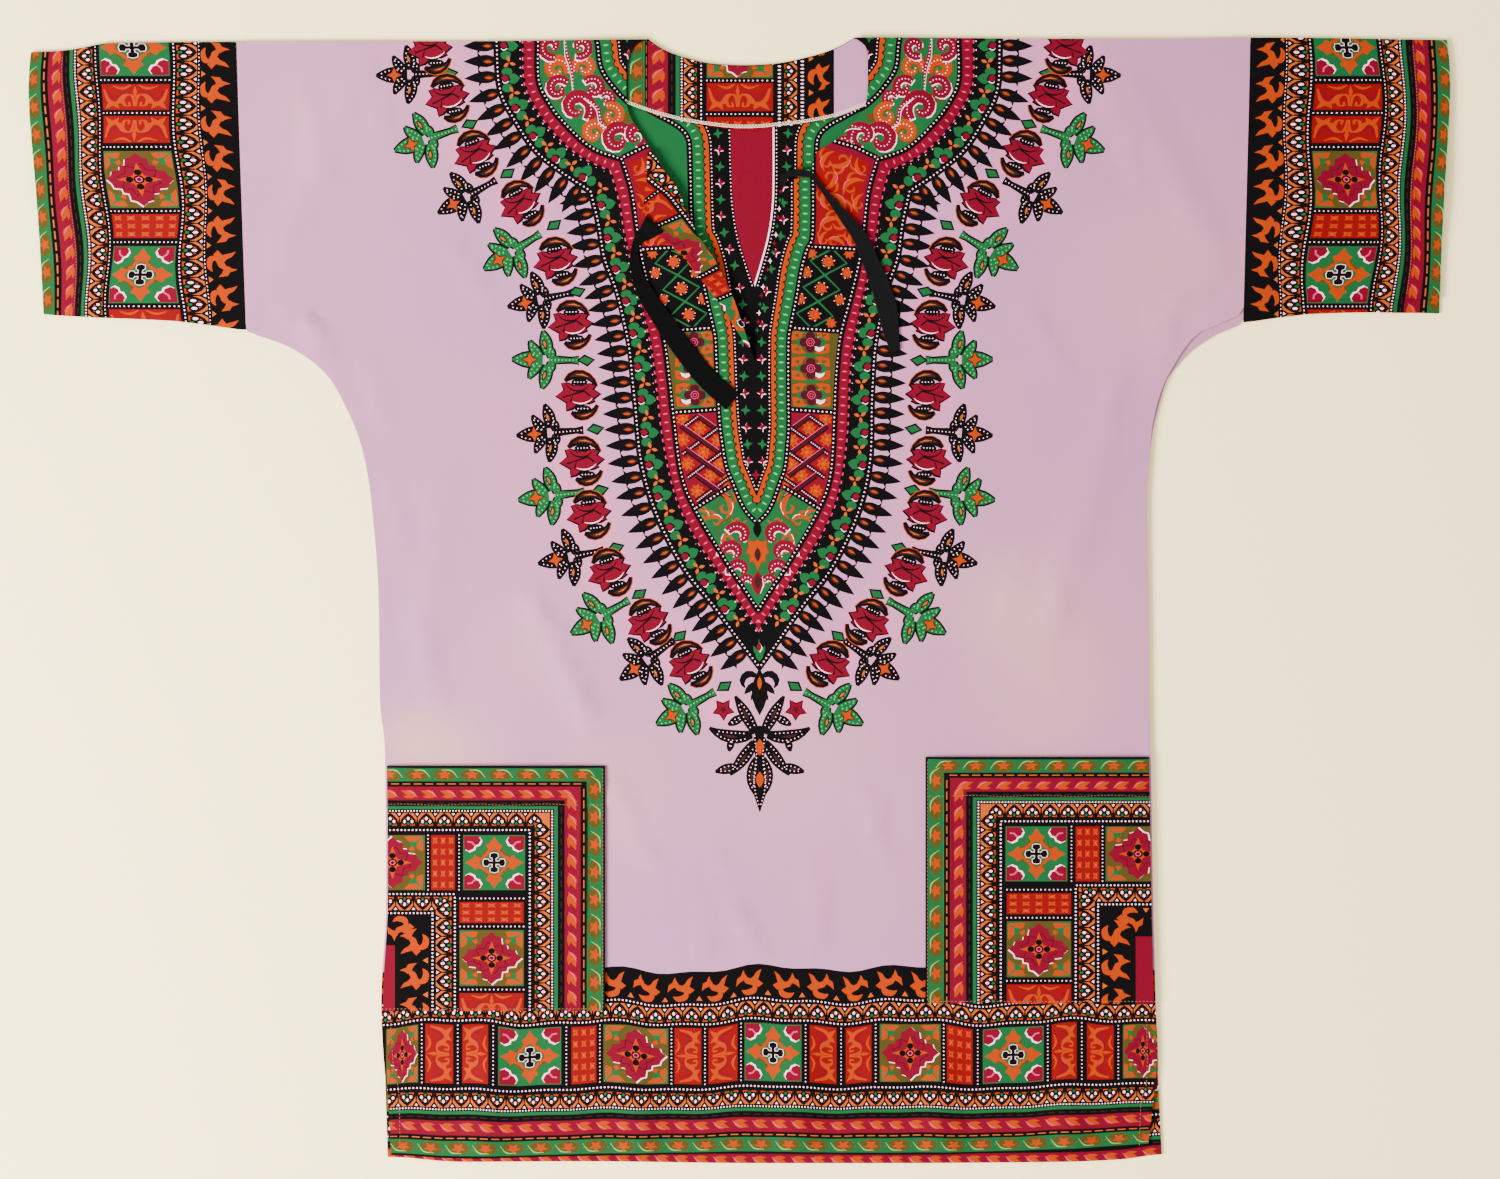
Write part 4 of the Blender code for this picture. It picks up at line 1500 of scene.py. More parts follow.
def yoke_panels(sheet):
    for side in (-1, 1):
        place = on_side(side)
        shoulder_panel(sheet, place)
        red_panel(sheet, place)
        green_lattice(sheet, place)
        flower_panel(sheet, place)
        red_lattice(sheet, place)
        dotted_line(sheet, [(101.5, 354), (84, 362.4), (57, 370.2)], place)
        dotted_line(sheet, [(87.4, 280.6), (47.6, 282.8)], place)
        dotted_line(sheet, [(70, 215.4), (30.6, 218)], place)
        dotted_line(sheet, [(63.2, 150.4), (27.6, 152.8)], place)
    lotus_panel(sheet)


# Where each band of the yoke begins, as a share from its outer line to its inner line
YOKE_BLACK = -0.03
YOKE_PINK = 0.60
YOKE_CRIMSON = 0.625
YOKE_INNER_BLACK = 0.88
YOKE_GREEN = 0.99

# Scallops and pale ticks along the crimson band: spacing, and the shares where they lie
SCALLOP_PITCH = 6.8
SCALLOP_SHARE = 0.595
TICK_SHARE = 0.76

# The yoke's inner line of white dots on black: the shares of its stroke and of its dots
DOTTED_STROKE_SHARE = 0.93
DOTTED_SHARE = 0.95


def crimson_scallops(sheet, shift):
    """Round bites out of the crimson band's outer edge, and a pale tick between each two."""
    for side in (-1, 1):
        place = on_side(side, shift)
        path_dots(sheet, "black", yoke_path(SCALLOP_SHARE), SCALLOP_PITCH, 2.3, place, 0.0, 8)
        for u, v, du, dv in resampled(yoke_path(TICK_SHARE), SCALLOP_PITCH, 3.0):
            x, y = place(u, v)
            angle = math.degrees(math.atan2(-du, side * dv))
            sheet.add("pink", lens(-2.2, 0, 2.2, 0, 0.7, 4), at(x, y, angle))


def yoke(sheet, shift=(0.0, 0.0), whole=True):
    """The yoke print; on the back only its plain bands, the ring and the centre panel are drawn."""
    if whole:
        round_the_yoke(sheet)
    yoke_band(sheet, "black", YOKE_BLACK, shift)
    if whole:
        yoke_band_motifs(sheet)
    yoke_band(sheet, "pink", YOKE_PINK, shift)
    yoke_band(sheet, "crimson", YOKE_CRIMSON, shift)
    if whole:
        crimson_scallops(sheet, shift)
    yoke_band(sheet, "black", YOKE_INNER_BLACK, shift)
    yoke_band(sheet, "green", YOKE_GREEN, shift)
    if whole:
        yoke_panels(sheet)
    for side in (-1, 1):
        place = on_side(side, shift)
        dotted_line(sheet, [(49.6, 73.6), (21.4, 91.2)], place)
        stroke(sheet, "black", yoke_path(DOTTED_STROKE_SHARE), 4.4, place)
        path_dots(sheet, "white", yoke_path(DOTTED_SHARE), 3.4, 0.72, place)
    ring(sheet, shift)
    slit_stars(sheet, shift)
    centre = smooth(CENTRE, 4)
    both_sides(sheet, "black", [(u + 3.4, v - 2) for u, v in centre[:-1]] + [(0, 243)], shift)
    for side in (-1, 1):
        path_dots(sheet, "white", [(u + 1.7, v - 1) for u, v in centre], 3.0, 0.62, on_side(side, shift))
    both_sides(sheet, "white", centre, shift)
    aside = (shift[0] - 1.0, shift[1])
    both_sides(sheet, "crimson", [(u - 0.3, v + 0.4) for u, v in centre[:-1]] + [(0, 250)], aside)
    if whole:
        below_the_point(sheet)


# Forms below the point of the yoke, as distance from the axis and height


def below_the_point(sheet):
    """A small bud in the point, a crown under it, and the big palmette with its two blossoms."""
    axis = on_side(1)
    for low, high, half, ink in ((-37, -30.4, 0.4, "green"), (-48.6, -38.6, 3.2, "green")):
        sheet.add(ink, lens(0, low, 0, high, half, 5), axis)
    for side in (-1, 1):
        sheet.add("green", lens(1.0, -45, 4.6, -36, 1.5, 4), on_side(side))
    sheet.add("white", lens(0.6, -41.6, 0.4, -34, 2.0, 4), axis)
    sheet.add("crimson", lens(0, -40.8, 0, -33.6, 2.0, 4), axis)

    sheet.add("black", lens(0, -92, 0, -54, 6.4, 6), axis)
    for side in (-1, 1):
        place = on_side(side)
        stroke(sheet, "black", arc_points(7.4, -65.0, 6.4, 130, -50), [4.0, 6.0, 5.0, 1.0], place)
        sheet.add("black", lens(2.0, -64, 12.4, -75, 2.8, 4), place)
        sheet.add("black", lens(2.0, -70, 7.0, -80, 2.0, 4), place)
    sheet.add("orange", lens(0, -71.4, 0, -60.6, 1.9, 5), axis)

    wings = (
        (3.0, -106.0, 62, 34, -2, 8.0), (14.0, -93.0, -32, 13, 4, 5.4), (6.0, -107.0, -24, 36, 56, 9.0),
        (
            22.0, -111.0, -70, 10, -10, 4.4
        ), (4.0, -113.0, -58, 33, 8, 8.4), (18.0, -133.0, -8, 18, -8, 6.6),
        (2.0, -126.0, -56, 30, -52, 7.4),
    )
    spine = [(0.0, -100.0), (0.0, -112.0), (0.0, -126.0), (0.0, -140.0), (0.0, -152.0), (0.0, -169.0)]
    stroke(sheet, "black", spine, [3.0, 11.0, 7.0, 13.0, 12.0, 0.6], axis)
    for side in (-1, 1):
        place = on_side(side)
        dotted_lobes(sheet, "black", wings, "white", 0.54, place, 0.9)
        for x, y, angle, length, bend, width in wings:
            middle = lobe_spine(x, y, angle, length, bend)[2:-2]
            if width > 6:
                stroke(sheet, "brown", middle, [0.4, 2.6, 0.6], place)
                stroke(sheet, "orange", middle[1:-1], [0.2, 1.1, 0.2], place)
        path_dots(
            sheet, "white",
            [(4.0, -108.0), (2.4, -124.0), (4.8, -142.0), (3.6, -154.0), (0.4, -165.0)], 2.9, 0.54,
            place, 0.5
        )
    sheet.add("orange", lens(0, -124, 0, -110.4, 3.3, 6), axis)
    sheet.add("orange", lens(0, -149.6, 0, -136.6, 3.2, 6), axis)
    for side in (-1, 1):
        place = on_side(side)
        blossom = [(29.0 + a, -87.0 + b) for a, b in star(5, 8.4, 4.2, 0.9)]
        sheet.add("black", grown(blossom, 1.1), place)
        sheet.add("crimson", blossom, place)
        sheet.add("maroon", [(29.0 + a, -87.0 + b) for a, b in star(5, 3.6, 1.4, 0.9)], place)


def triangulated(outline, shapes, spacing, ground):
    """Points, triangles and the ink of each, of a flat piece with its shapes cut in."""
    coords = []
    faces = []
    inks = []

    def put(ink, points):
        clean = []
        for point in points:
            if not clean or math.dist(point, clean[-1]) > 0.02:
                clean.append(point)
        if len(clean) > 1 and math.dist(clean[0], clean[-1]) <= 0.02:
            clean.pop()
        if len(clean) < 3:
            return
        area = sum(x0 * y1 - x1 * y0 for (x0, y0), (x1, y1) in zip(clean, clean[1:] + clean[:1]))
        if abs(area) < 0.01:
            return
        if area < 0:
            clean.reverse()
        first = len(coords)
        coords.extend(clean)
        faces.append(list(range(first, first + len(clean))))
        inks.append(ink)

    xs = [x for x, y in outline]
    ys = [y for x, y in outline]
    box = (min(xs), min(ys), max(xs), max(ys))
    put(ground, outline)
    for ink, points in shapes:
        px = [x for x, y in points]
        py = [y for x, y in points]
        if max(px) < box[0] or min(px) > box[2] or max(py) < box[1] or min(py) > box[3]:
            continue
        put(ink, points)
    taken = {(int(x // spacing), int(y // spacing)) for x, y in coords}
    columns = int((box[2] - box[0]) / spacing) + 1
    rows = int((box[3] - box[1]) / spacing) + 1
    for i in range(columns):
        for j in range(rows):
            x = box[0] + spacing * (i + 0.5 + 0.23 * math.sin(7.1 * j + i))
            y = box[1] + spacing * (j + 0.5 + 0.23 * math.sin(5.3 * i + j))
            if (int(x // spacing), int(y // spacing)) not in taken:
                coords.append((x, y))
    points, _, triangles, _, _, owners = delaunay_2d_cdt(
        [Vector(c) for c in coords], [], faces, 1, 0.008, True
    )
    places = np.array([p[:] for p in points])
    owners = settled(places, triangles, owners, coords, faces)
    keep = []
    kept_inks = []
    for triangle, owner in zip(triangles, owners):
        if owner[0]:
            keep.append(tuple(triangle))
            kept_inks.append(inks[owner[1]])
    used = sorted({i for triangle in keep for i in triangle})
    index = {old: new for new, old in enumerate(used)}
    return places[used], [tuple(index[i] for i in t) for t in keep], kept_inks


def winding(points, x, y):
    """How many times a closed outline turns round each place."""
    turns = np.zeros(len(x), int)
    for (x0, y0), (x1, y1) in zip(points, points[1:] + points[:1]):
        side = (x1 - x0) * (y - y0) - (x - x0) * (y1 - y0)
        turns += ((y0 <= y) & (y1 > y) & (side > 0)).astype(int)
        turns -= ((y0 > y) & (y1 <= y) & (side < 0)).astype(int)
    return turns


def settled(places, triangles, owners, coords, faces):
    """Whether each triangle is on the cloth, and the topmost shape over it. A shape whose outline
    crosses itself can claim the wrong side, so such shapes are settled by their winding."""
    corners = places[np.array(triangles)]
    one = corners[:, 1] - corners[:, 0]
    two = corners[:, 2] - corners[:, 0]
    areas = np.abs(one[:, 0] * two[:, 1] - one[:, 1] * two[:, 0]) / 2
    middle = corners.mean(axis=1)
    claimed = np.zeros(len(faces))
    for area, owner in zip(areas, owners):
        for face in owner:
            claimed[face] += area
    wrong = set()
    for n, face in enumerate(faces):
        ring = [coords[i] for i in face]
        area = sum(x0 * y1 - x1 * y0 for (x0, y0), (x1, y1) in zip(ring, ring[1:] + ring[:1])) / 2
        if abs(claimed[n] - area) > 0.02 * area + 0.05:
            wrong.add(n)
    on_cloth = np.array([0 in owner for owner in owners])
    top = np.array([max((f for f in owner if f not in wrong), default=0) for owner in owners])
    for n in sorted(wrong - {0}):
        ring = [coords[i] for i in faces[n]]
        xs = [x for x, y in ring]
        ys = [y for x, y in ring]
        near = (
            middle[:, 0] > min(xs)
        ) & (middle[:, 0] < max(xs)) & (middle[:, 1] > min(ys)) & (middle[:, 1] < max(ys))
        found = np.nonzero(near & (top < n))[0]
        inside = winding(ring, middle[found, 0], middle[found, 1]) != 0
        top[found[inside]] = n
    return list(zip(on_cloth, top))


def border_loop(triangles):
    """Directed edges with one face, as a map from each point to the next."""
    edges = set()
    for a, b, c in triangles:
        edges.update(((a, b), (b, c), (c, a)))
    return [(a, b) for a, b in edges if (b, a) not in edges]


def ordered(edges):
    after = dict(edges)
    start = edges[0][0]
    loop = [start]
    while after[loop[-1]] != start:
        loop.append(after[loop[-1]])
    return loop


class Shell:
    """Vertices, faces and inks of a piece that is put together from several walls."""

    def __init__(self):
        self.points = []
        self.faces = []
        self.inks = []

    def wall(self, outline, shapes, top, bottom, spacing, ground="lilac", under=None, coarse=None):
        """A closed wall. Its underside repeats the print, has one of its own, or is a coarse net."""
        ground = INK_NAMES.index(ground)
        places, triangles, inks = triangulated(outline, shapes, spacing, ground)
        base = len(self.points)
        z = top(places[:, 0], places[:, 1])
        self.points += [(x * MM, y * MM, h * MM) for (x, y), h in zip(places, z)]
        self.faces += [tuple(base + i for i in t) for t in triangles]
        self.inks += inks
        edges = border_loop(triangles)
        edge_ink = {}
        for t, ink in zip(triangles, inks):
            for a, b in ((t[0], t[1]), (t[1], t[2]), (t[2], t[0])):
                edge_ink[(a, b)] = ink
        low_base = len(self.points)
        if coarse is None and under is None:
            z = bottom(places[:, 0], places[:, 1])
            self.points += [(x * MM, y * MM, h * MM) for (x, y), h in zip(places, z)]
            self.faces += [tuple(low_base + i for i in reversed(t)) for t in triangles]
            self.inks += inks
            low = {i: low_base + i for i in range(len(places))}
        else:
            loop = ordered(edges)
            rim = [tuple(places[i]) for i in loop]
            low_places, low_triangles, low_inks, owner = self.under(
                rim, under or [], coarse or spacing, ground
            )
            z = bottom(low_places[:, 0], low_places[:, 1])
            self.points += [(x * MM, y * MM, h * MM) for (x, y), h in zip(low_places, z)]
            self.faces += [tuple(low_base + i for i in reversed(t)) for t in low_triangles]
            self.inks += low_inks
            low = {i: low_base + owner[n] for n, i in enumerate(loop)}
        for a, b in edges:
            self.faces.append((base + b, base + a, low[a], low[b]))
            self.inks.append(edge_ink[(a, b)])

    def under(self, rim, shapes, spacing, ground):
        """The underside's net, whose rim has the points of the top's rim."""
        faces = [list(range(len(rim)))]
        coords = list(rim)
        inks = [ground]
        for ink, points in shapes:
            first = len(coords)
            area = sum(x0 * y1 - x1 * y0 for (x0, y0), (x1, y1) in zip(points, points[1:] + points[:1]))
            coords.extend(points if area > 0 else points[::-1])
            faces.append(list(range(first, first + len(points))))
            inks.append(ink)
        xs = [x for x, y in rim]
        ys = [y for x, y in rim]
        x = min(xs) + spacing / 2
        while x < max(xs):
            y = min(ys) + spacing / 2
            while y < max(ys):
                coords.append((x, y))
                y += spacing
            x += spacing
        points, _, triangles, sources, _, owners = delaunay_2d_cdt(
            [Vector(c) for c in coords], [], faces, 1, 0.002, True
        )
        keep = []
        kept_inks = []
        for triangle, owner in zip(triangles, owners):
            if 0 in owner:
                keep.append(tuple(triangle))
                kept_inks.append(inks[max(owner)])
        used = sorted({i for triangle in keep for i in triangle})
        index = {old: new for new, old in enumerate(used)}
        rim_point = {}
        for n, source in enumerate(sources):
            for s in source:
                if s < len(rim) and n in index:
                    rim_point[s] = index[n]
        places = np.array([points[i][:] for i in used])
        return places, [tuple(index[i] for i in t) for t in keep], kept_inks, rim_point

    def object(self, name, materials):
        mesh = bpy.data.meshes.new(name)
        mesh.from_pydata(self.points, [], self.faces)
        used = sorted(set(self.inks))
        slot = {ink: n for n, ink in enumerate(used)}
        for ink in used:
            mesh.materials.append(materials[ink])
        mesh.polygons.foreach_set("material_index", [slot[ink] for ink in self.inks])
        mesh.shade_smooth()
        mesh.set_sharp_from_angle(angle=math.radians(40))
        mesh.update()
        thing = bpy.data.objects.new(name, mesh)
        bpy.context.scene.collection.objects.link(thing)
        return thing


# Heights


def ridges(x, y, table):
    rise = np.zeros_like(x)
    for x0, y0, x1, y1, half_width, height in table:
        run = (x1 - x0, y1 - y0)
        length = math.hypot(*run)
        t = ((x - x0) * run[0] + (y - y0) * run[1]) / length**2
        across = np.abs((x - x0) * run[1] - (y - y0) * run[0]) / length
        ends = eased((t + 0.15) / 0.45) * eased((1.15 - t) / 0.45)
        rise += height * ends * (1 - eased(across / half_width))
    return rise


def neck_lift(x, y):
    level = np.maximum(y, SLIT_FOOT)
    distance = np.maximum(np.maximum(slit_left(level) - x, x - slit_right(level)), 0.0)
    fade = 1 - eased((distance - 24) / 45)
    rise = eased((y - SLIT_FOOT + 20) / 20)
    return FACING_LIFT * fade * rise


def front_under(x, y):
    inside = np.minimum(np.minimum(x - front_left(y), front_right(y) - x), shoulder(x) - y)
    edge = eased(inside / 26)
    folds = (ridges(x, y, FOLDS) + ridges(x, y, CREASES)) * edge
    return WALL + GAP + neck_lift(x, y) + folds


def front_top(x, y):
    return front_under(x, y) + WALL


def flat(height):
    return lambda x, y: np.full_like(x, height)


# Outlines


def front_outline():
    left = [(float(front_left(y)), y) for y in spread(-380, 396, 120)]
    hem_left = float(front_left(-450))
    hem_right = float(front_right(-450))
    hem = [(x, float(front_hem(x))) for x in spread(hem_right, hem_left, 90)]
    right = [(float(front_right(y)), y) for y in spread(396, -380, 120)]
    top_left = [(x, float(shoulder(x))) for x in spread(-401.5, float(slit_left(450)), 40)]
    down = [(float(slit_left(y)), y) for y in spread(446, SLIT_FOOT + 0.5, 90)]
    up = [(float(slit_right(y)), y) for y in spread(SLIT_FOOT + 0.5, 446, 90)]
    top_right = [(x, float(shoulder(x))) for x in spread(float(slit_right(450)), 408.5, 40)]
    return left + top_left + down + up + top_right + right + hem


def back_outline():
    left = [(float(back_left(y)), y) for y in spread(-380, 396, 110)]
    hem = [(x, float(back_hem(x))) for x in spread(float(back_right(-450)), float(back_left(-450)), 80)]
    right = [(float(back_right(y)), y) for y in spread(396, -380, 110)]
    top = [(x, float(shoulder(x))) for x in spread(-401.5, -74, 30)]
    top += [(x, float(back_neck(x))) for x in spread(-73, 91, 40)]
    top += [(x, float(shoulder(x))) for x in spread(92, 408.5, 30)]
    return left + top + right + hem


# Inks on cloth


def linear(colour):
    out = []
    for value in colour:
        c = value / 255
        out.append(c / 12.92 if c <= 0.04045 else ((c + 0.055) / 1.055) ** 2.4)
    return (*out, 1.0)


def node(tree, kind, **settings):
    thing = tree.nodes.new(kind)
    for key, value in settings.items():
        setattr(thing, key, value)
    return thing


def weave_bump(tree, shader, scale=1.0):
    """Fine crossed threads and a soft crumple under the ink."""
    place = node(tree, "ShaderNodeTexCoord")
    across = node(tree, "ShaderNodeTexWave", wave_type="BANDS", bands_direction="X")
    up = node(tree, "ShaderNodeTexWave", wave_type="BANDS", bands_direction="Y")
    for wave in (across, up):
        wave.inputs["Scale"].default_value = 420 * scale
        wave.inputs["Distortion"].default_value = 0.6
        tree.links.new(place.outputs["Object"], wave.inputs["Vector"])
    both = node(tree, "ShaderNodeMath", operation="MAXIMUM")
    tree.links.new(across.outputs["Fac"], both.inputs[0])
    tree.links.new(up.outputs["Fac"], both.inputs[1])
    slub = node(tree, "ShaderNodeTexNoise")
    slub.inputs["Scale"].default_value = 90
    slub.inputs["Detail"].default_value = 5
    tree.links.new(place.outputs["Object"], slub.inputs["Vector"])
    total = node(tree, "ShaderNodeMath", operation="ADD")
    tree.links.new(both.outputs[0], total.inputs[0])
    tree.links.new(slub.outputs["Fac"], total.inputs[1])
    bump = node(tree, "ShaderNodeBump")
    bump.inputs["Strength"].default_value = 0.35
    bump.inputs["Distance"].default_value = 0.0004
    tree.links.new(total.outputs[0], bump.inputs["Height"])
    tree.links.new(bump.outputs["Normal"], shader.inputs["Normal"])
    return place


def ink_material(name, colour):
    material = bpy.data.materials.new("ink_" + name)
    material.use_nodes = True
    tree = material.node_tree
    shader = tree.nodes["Principled BSDF"]
    shader.inputs["Base Color"].default_value = linear(colour)
    shader.inputs["Roughness"].default_value = 0.88
    shader.inputs["Specular IOR Level"].default_value = 0.02
    weave_bump(tree, shader)
    return material


def mixed(tree, amount, first, second, strength=1.0):
    """Two colours mixed by an amount; either colour may be a socket."""
    mix = node(tree, "ShaderNodeMix", data_type="RGBA")
    if strength != 1.0:
        scaled = node(tree, "ShaderNodeMath", operation="MULTIPLY")
        tree.links.new(amount, scaled.inputs[0])
        scaled.inputs[1].default_value = strength
        amount = scaled.outputs[0]
    tree.links.new(amount, mix.inputs["Factor"])
    for key, value in (("A", first), ("B", second)):
        slot = [i for i in mix.inputs if i.name == key and i.type == "RGBA"][0]
        if isinstance(value, tuple):
            slot.default_value = value
        else:
            tree.links.new(value, slot)
    return [o for o in mix.outputs if o.type == "RGBA"][0]


def dyed_ground(material, colour):
    """Lilac dye that is uneven, yellowed in places and stained pink beside the crimson."""
    tree = material.node_tree
    shader = tree.nodes["Principled BSDF"]
    place = node(tree, "ShaderNodeTexCoord")
    cloud = node(tree, "ShaderNodeTexNoise")
    cloud.inputs["Scale"].default_value = 5.5
    cloud.inputs["Detail"].default_value = 3
    tree.links.new(place.outputs["Object"], cloud.inputs["Vector"])
    warm = linear((min(255, colour[0] * 1.03), colour[1] * 1.04, colour[2] * 0.93))
    cool = linear((colour[0] * 0.95, colour[1] * 0.97, colour[2] * 1.06))
    base = mixed(tree, cloud.outputs["Fac"], cool, warm)
    thread = node(tree, "ShaderNodeTexNoise")
    thread.inputs["Scale"].default_value = 700
    thread.inputs["Detail"].default_value = 2
    tree.links.new(place.outputs["Object"], thread.inputs["Vector"])
    base = mixed(tree, thread.outputs["Fac"], base, linear([c * 0.9 for c in colour]), 0.22)
    for name, tint, strength in (("bleed", (232, 92, 150), 0.42), ("stain", (206, 158, 120), 0.5)):
        mark = node(tree, "ShaderNodeAttribute", attribute_name=name)
        base = mixed(tree, mark.outputs["Fac"], base, linear(tint), strength)
    tree.links.new(base, shader.inputs["Base Color"])


def ribbon_material(name, colour, roughness, sheen):
    material = ink_material(name, colour)
    shader = material.node_tree.nodes["Principled BSDF"]
    shader.inputs["Roughness"].default_value = roughness
    shader.inputs["Sheen Weight"].default_value = sheen
    shader.inputs["Sheen Roughness"].default_value = 0.4
    return material


INK_MATERIALS = [ink_material(name, colour) for name, colour in INKS.items()]
dyed_ground(INK_MATERIALS[0], INKS["lilac"])
THREAD = ink_material("thread", (214, 192, 168))
DULL_THREAD = ink_material("dull_thread", (112, 80, 62))


# Marks on the front's ground: place, radius, strength
STAINS = (
    (
        -262, -112, 30, 0.7
    ), (-225, -122, 34, 0.5), (214, -2, 46, 0.5), (250, -70, 60, 0.35), (-96, -150, 60, 0.3),
    (-170, -40, 50, 0.25), (60, -140, 70, 0.2), (-340, 392, 60, 0.25), (330, 250, 70, 0.25),
)
BUD_BLEED = (20, 0.8)
BLOSSOM_BLEED = (29, -86, 15, 1.0)
BLEEDS = tuple((u, v) + BUD_BLEED for u, v, tilt in TULIPS) + (BLOSSOM_BLEED,)


def marked(mesh):
    """Per-point strengths of the pink bleed and the yellow stains."""
    count = len(mesh.vertices)
    places = np.zeros(count * 3)
    mesh.vertices.foreach_get("co", places)
    x = places[0::3] / MM
    y = places[1::3] / MM
    across = np.abs(x - yoke_axis(y))
    bleed = np.zeros(count)
    for u, v, r, strength in BLEEDS:
        bleed += strength * np.exp(-(((across - u) ** 2 + (y - v) ** 2) / r**2))
    stain = np.zeros(count)
    for a, b, r, strength in STAINS:
        stain += strength * np.exp(-(((x - a) ** 2 + (y - b) ** 2) / r**2))
    for name, values in (("bleed", bleed), ("stain", stain)):
        layer = mesh.attributes.new(name, "FLOAT", "POINT")
        layer.data.foreach_set("value", np.clip(values, 0, 1))


def closed_mesh(name, points, faces, material):
    """A mesh from points in millimetres, with its faces turned outwards."""
    mesh = bpy.data.meshes.new(name)
    mesh.from_pydata([(x * MM, y * MM, z * MM) for x, y, z in points], [], faces)
    edit = bmesh.new()
    edit.from_mesh(mesh)
    bmesh.ops.recalc_face_normals(edit, faces=edit.faces)
    edit.to_mesh(mesh)
    edit.free()
    mesh.materials.append(material)
    return mesh


def stitches(name, rows, thread=DULL_THREAD):
    """Separate thread stitches: each row is a path, a pitch, a length, a half width and a height."""
    points = []
    faces = []
    for path, pitch, length, half, height in rows:
        for n, (x, y, dx, dy) in enumerate(resampled(path, pitch, pitch / 2)):
            z = float(height(np.array([x]), np.array([y]))[0])
            base = len(points)
            lean = 0.08 * math.sin(n * 2.3)
            dx, dy = dx - dy * lean, dy + dx * lean
            for along, side, up in (
                (-0.5, 0, 0.0), (-0.28, 1, 0.08), (-0.28, -1, 0.08), (-0.28, 0, 0.34),
                (0.28, 1, 0.08), (0.28, -1, 0.08), (0.28, 0, 0.34), (0.5, 0, 0.0),
            ):
                points.append(
                    (
                        x + dx * along * length - dy * side * half,
                        y + dy * along * length + dx * side * half, z + up
                    )
                )
            for face in (
                (0, 3, 1), (0, 2, 3), (0, 1, 2), (1, 3, 6, 4), (3, 2, 5, 6), (2, 1, 4, 5), (4, 6, 7),
                (6, 5, 7), (5, 4, 7)
            ):
                faces.append([base + k for k in face])
    mesh = closed_mesh(name, points, faces, thread)
    thing = bpy.data.objects.new(name, mesh)
    bpy.context.scene.collection.objects.link(thing)
    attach(thing, "root")
    return thing


def declared(thing, cad_node):
    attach(thing, "root")
    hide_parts(cad_node)
    return thing


# Pieces

# Blocks along the hem: name, start, end, as distance across
HEM_BLOCKS = (
    ("rosette", -283.2, -255.2),
    ("scroll", -252.0, -227.2),
    ("scroll_back", -222.4, -199.2),
    ("cross", -193.6, -140.8),
    ("small", -135.2, -112.8),
    ("rosette", -109.6, -55.2),
    ("scroll", -52.8, -28.8),
    ("scroll_back", -25.6, 0.0),
    ("cross", 3.2, 51.2),
    ("scroll", 55.2, 79.2),
    ("scroll_back", 84.0, 107.2),
    ("rosette", 111.2, 162.4),
    ("small", 164.8, 188.0),
    ("cross", 193.6, 244.8),
    ("scroll", 248.8, 271.2),
    ("scroll_back", 276.8, 300.8),
    ("rosette", 305.6, 340.0),
)
HEM_TOP_EDGE = -294.5


def hem_wave(s, t):
    """The printed bands wander up and down where the cloth lies in soft waves."""
    fade = 1 - 0.45 * t / STRIP_WIDTH
    return fade * (
        2.6 * math.sin(s / 19.5 + 0.7) + 1.3 * math.sin(s / 8.3 + t / 60) + 1.2 * math.sin(s / 47)
    )




def front_panel():
    sheet = Print()
    yoke(sheet)

    def place(s, t):
        foot = float(front_hem(s))
        share = t / STRIP_WIDTH
        wave = hem_wave(s, t) * math.sqrt(min(1.0, max(0.0, 1 - share)))
        return s, HEM_TOP_EDGE + (foot - HEM_TOP_EDGE) * share + wave

    border(Strip(sheet, place, -300, 350), HEM_BLOCKS, middle=26)
    shell = Shell()
    shell.wall(
        front_outline(), sheet.shapes, front_top, front_under, FRONT_NET, "lilac",
        coarse=FRONT_HIDDEN_NET
    )
    thing = shell.object("front_cloth", INK_MATERIALS)
    marked(thing.data)
    hem_ends = float(front_left(-440)) + 6, float(front_right(-440)) - 6
    turned_up = [(x, float(front_hem(x)) + 7.0) for x in spread(*hem_ends, 60)]
    vents = [
        [(float(front_left(y)) + 7.5, y) for y in spread(-436, -330, 24)],
        [(float(front_right(y)) - 7.5, y) for y in spread(-436, -330, 24)],
    ]
    rows = [(path, 3.0, 2.1, 0.26, front_top) for path in vents]
    rows.append((turned_up, 3.4, 1.9, 0.18, front_top))
    thread = stitches("front_stitches", rows)
    declared(thing, "front_panel")
    return thing


# Where the back's print lies against the front's
BACK_SHIFT = (2.9, 3.0)


def back_panel():
    sheet = Print()

    def place(s, t):
        foot = float(back_hem(s))
        return s, foot + (STRIP_WIDTH - 21.0 - t)

    border(Strip(sheet, place, -300, 350), HEM_BLOCKS, middle=26)
    yoke(sheet, BACK_SHIFT, False)
    shell = Shell()
    shell.wall(back_outline(), sheet.shapes, flat(WALL), flat(0.0), BACK_NET, "lilac")
    thing = shell.object("back_cloth", INK_MATERIALS)
    declared(thing, "back_panel")
    return thing


# Blocks down the sleeve ends: name, start, end, as depth below the garment's middle height
CUFF_BLOCKS = (
    ("cross", -466, -418),
    ("scroll", -414, -390.8),
    ("scroll_back", -388.4, -364.4),
    ("rosette", -360.4, -312.4),
    ("small", -310, -288.4),
    ("cross", -284.4, -236.4),
    ("scroll", -234, -210),
)
